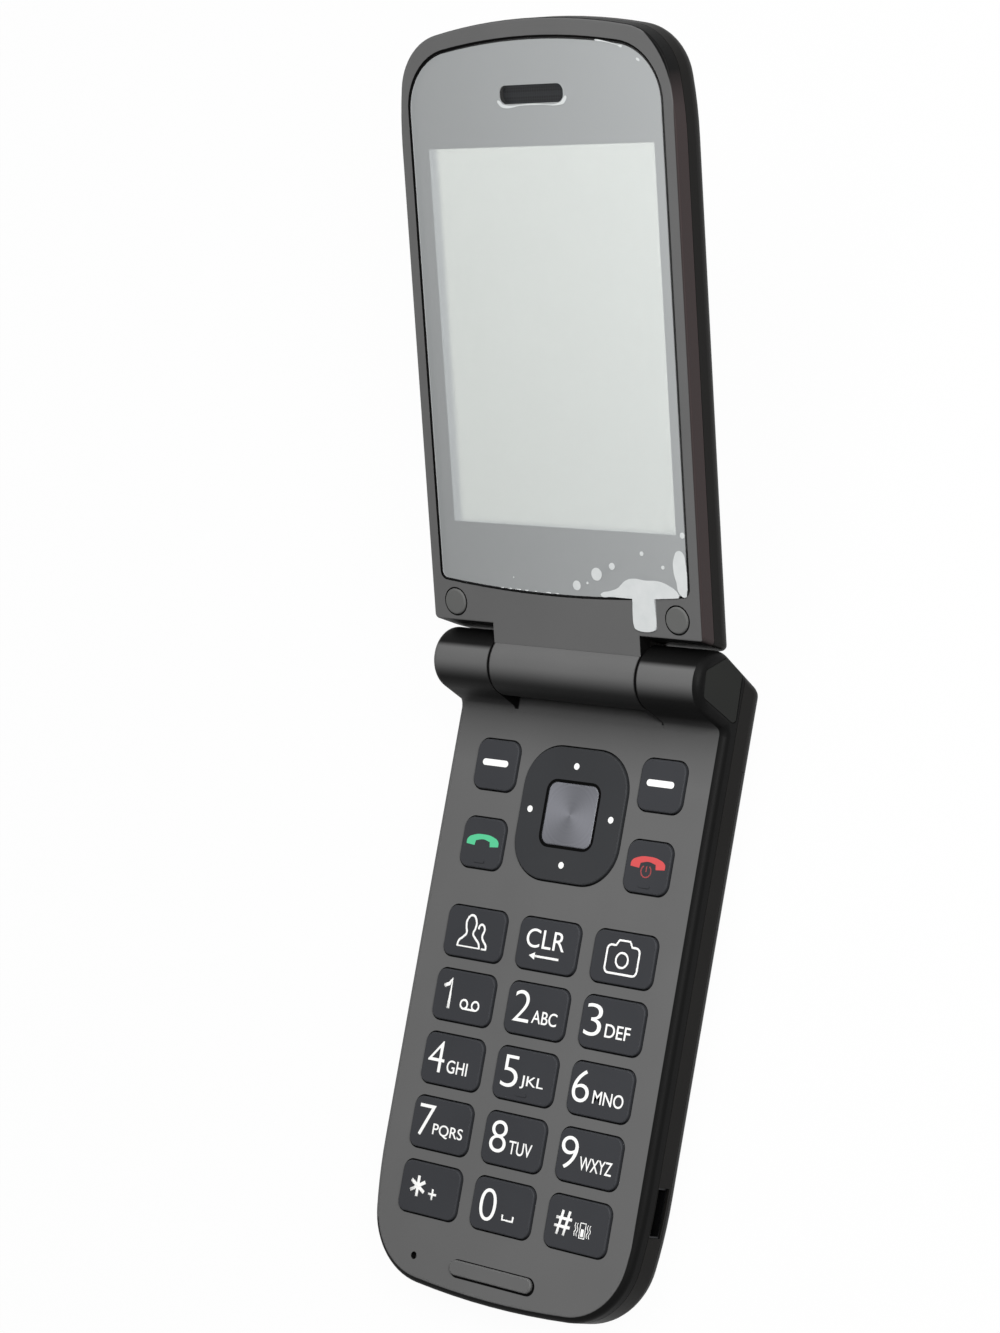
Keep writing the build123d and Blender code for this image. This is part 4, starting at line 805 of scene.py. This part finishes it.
# The outline of the lens's underside without its slot, read from the lens and drawn in by an inset
def lensOutline(inset):
    toLid = lidSpace.inverted()
    points = [toLid @ v.co / mm for v in nodes["display_lens"].data.vertices]
    low = min(p.z for p in points)
    middle = (max(p.y for p in points) + min(p.y for p in points)) / 2
    slotX, slotY, slotWidth, slotHeight, _ = mask["slot"]
    rim = sorted({(round(p.x, 4), round(p.y, 4)) for p in points if p.z < low + 0.01
                  and (abs(p.x - slotX) > slotWidth or abs(p.y - slotY) > slotHeight)},
                 key=lambda p: atan2(p[1] - middle, p[0]))
    reach = [sqrt(x * x + (y - middle) ** 2) for x, y in rim]
    return [(x * (1 - inset / r), middle + (y - middle) * (1 - inset / r), True) for (x, y), r in zip(rim, reach)]


windowLeft, windowRight, windowLow, windowHigh = mask["window"]
windowOutline = corners((windowLeft, windowLow), (windowRight, windowLow), (windowRight, windowHigh),
                        (windowLeft, windowHigh))
finishPrint("display_lens_mask", [filled([lensOutline(mask["inset"]), windowOutline,
                                          roundedSlot(*mask["slot"], mask["inset"])])],
            lidSpace, (0, 0, mask["height"]), maskInk, "lid")

# Painted shade in the seam round the lens: a flat black ring, wider on the left and at the top, where that shade shows
seamX, seamY = mask["seamShift"]
seamOutline = [(x + seamX, y + seamY, sharp) for x, y, sharp in lensOutline(-mask["seamWidth"])]
finishPrint("display_lens_seam_shade", [filled([seamOutline, lensOutline(mask["inset"])])],
            lidSpace, (0, 0, phone["lidFace"]), seamShade, "lid")

# The film where it has come away: the pull tab, the pocket of air round it and the loose bubbles
lifted = {
    "top": 3.33,
    "thickness": 0.05,
    "dashWidth": 0.16,
    "tab": [(13.9, 8.6), (14.25, 8.25), (17.6, 8.25), (18.0, 8.6), (18.0, 13.2, True), (22.7, 13.65, True),
            (22.75, 14.0), (22.0, 14.9), (21.25, 15.3), (19.4, 15.95), (16.25, 16.0), (14.4, 16.15), (12.8, 15.8),
            (11.6, 14.9), (11.2, 14.55), (9.4, 13.9), (7.9, 13.5), (7.7, 13.2), (10.0, 13.05), (13.8, 13.0, True)],
    "cornerPatch": [(22.2, 19.9), (23.0, 20.9), (23.9, 20.6), (24.3, 19.2), (24.3, 14.5), (24.1, 13.9), (22.95, 14.3),
                    (22.4, 16.1), (22.0, 17.6)],
    "bubbles": [(7.1, 16.4, 1.0), (3.06, 14.4, 0.75), (10.2, 17.8, 0.55), (16.1, 20.1, 0.35), (20.0, 18.2, 0.3),
                (24.0, 23.3, 0.45), (5.2, 14.9, 0.2), (-9.6, 14.9, 0.12)],
    "dashes": [(-12.4, -11.8, 13.1), (-11.0, -10.1, 13.05), (-9.5, -8.3, 13.0), (-7.7, -6.8, 12.95), (-5.6, -5.1, 12.9),
               (-3.6, -2.2, 12.85), (-1.5, -0.7, 12.85)],
    "slivers": [[(12.8, 96.85), (15.0, 96.48), (17.0, 95.9), (17.8, 95.6), (16.9, 95.85), (14.9, 96.36), (12.8, 96.75)],
                [(20.4, 93.9), (20.9, 93.4), (20.7, 93.4), (20.3, 93.75)]],
    "slotRim": [(-6.6, 88.6), (-6.3, 87.9), (-5.4, 87.45), (-2.0, 87.7), (2.0, 87.7), (5.6, 87.6), (6.4, 87.9),
                (6.7, 88.9), (6.25, 88.6), (5.6, 88.0), (0.0, 87.95), (-5.6, 88.0), (-6.2, 88.5)],
}
filmOutlines = [lifted["tab"], lifted["cornerPatch"], lifted["slotRim"]]
filmOutlines += [circle(*bubble) for bubble in lifted["bubbles"]] + lifted["slivers"]
filmParts = [filled([outline], lifted["thickness"]) for outline in filmOutlines]
dashLines = [corners((left, y), (right, y)) for left, right, y in lifted["dashes"]]
filmParts.append(strokes(lifted["dashWidth"], dashLines))
finishPrint("protective_film_lifted", filmParts, lidSpace, (0, 0, lifted["top"]), filmWhite, "lid")
print("lens mask and lifted film made")


# Floor, lights and world. Only the camera, mirrors and glass see the plain white ones.
studio = {
    "floorSize": 8.0,
    "floorDrop": 0.0002,
    "floorPaper": "#d4d4d4",
    "plainShare": 0.97,  # the rest of the floor's colour keeps the object's shadow
    "fill": 0.09,
    "aim": (0, 0.03, 0.02),
    "lamps": {
        "softboxAbove": {"place": (-0.05, 0.6, 1.1), "size": (0.9, 0.9), "power": 10.2},
        "softboxRight": {"place": (0.3, 0.12, 0.32), "size": (0.2, 0.2), "power": 1.9},
    },
}


def seenPlain(tree):
    seen = addNode(tree, "LightPath").outputs
    first = calculate(tree, "MAXIMUM", seen["Is Camera Ray"], seen["Is Glossy Ray"])
    return calculate(tree, "MAXIMUM", first, seen["Is Transmission Ray"])


def plainFloor():
    size = studio["floorSize"] / 2
    made = bpy.data.meshes.new("floor")
    made.from_pydata([(-size, -size, 0), (size, -size, 0), (size, size, 0), (-size, size, 0)], [], [(0, 1, 2, 3)])
    floor = bpy.data.objects.new("floor", made)
    floor.location.z = -studio["floorDrop"]
    bpy.context.scene.collection.objects.link(floor)
    material = bpy.data.materials.new("paperFloor")
    material.use_nodes = True
    tree = material.node_tree
    tree.nodes.clear()
    paper = addNode(tree, "BsdfDiffuse", {"Color": linear(studio["floorPaper"])})
    white = addNode(tree, "Emission", {"Strength": 1.0})
    share = calculate(tree, "MULTIPLY", seenPlain(tree), studio["plainShare"])
    mixed = addNode(tree, "MixShader", {}, {0: share, 1: paper.outputs[0], 2: white.outputs[0]})
    addNode(tree, "OutputMaterial", {}, {"Surface": mixed.outputs[0]})
    made.materials.append(material)


def plainWorld():
    world = bpy.data.worlds.new("studioWorld")
    world.use_nodes = True
    tree = world.node_tree
    tree.nodes.clear()
    fill = addNode(tree, "Background", {"Strength": studio["fill"]})
    white = addNode(tree, "Background", {"Strength": 1.0})
    mixed = addNode(tree, "MixShader", {}, {0: seenPlain(tree), 1: fill.outputs[0], 2: white.outputs[0]})
    addNode(tree, "OutputWorld", {}, {"Surface": mixed.outputs[0]})
    bpy.context.scene.world = world


def addLamp(name, place, size, power):
    lampData = bpy.data.lights.new(name, "AREA")
    lampData.shape = "RECTANGLE"
    lampData.size, lampData.size_y = size
    lampData.energy = power
    lamp = bpy.data.objects.new(name, lampData)
    lamp.location = place
    lamp.visible_camera = False
    lamp.rotation_euler = (Vector(studio["aim"]) - Vector(place)).to_track_quat("-Z", "Y").to_euler()
    bpy.context.scene.collection.objects.link(lamp)


plainFloor()
plainWorld()
for lampName, lamp in studio["lamps"].items():
    addLamp(lampName, **lamp)
bpy.context.scene.view_settings.view_transform = "Standard"
print("floor, world and lamps ready")
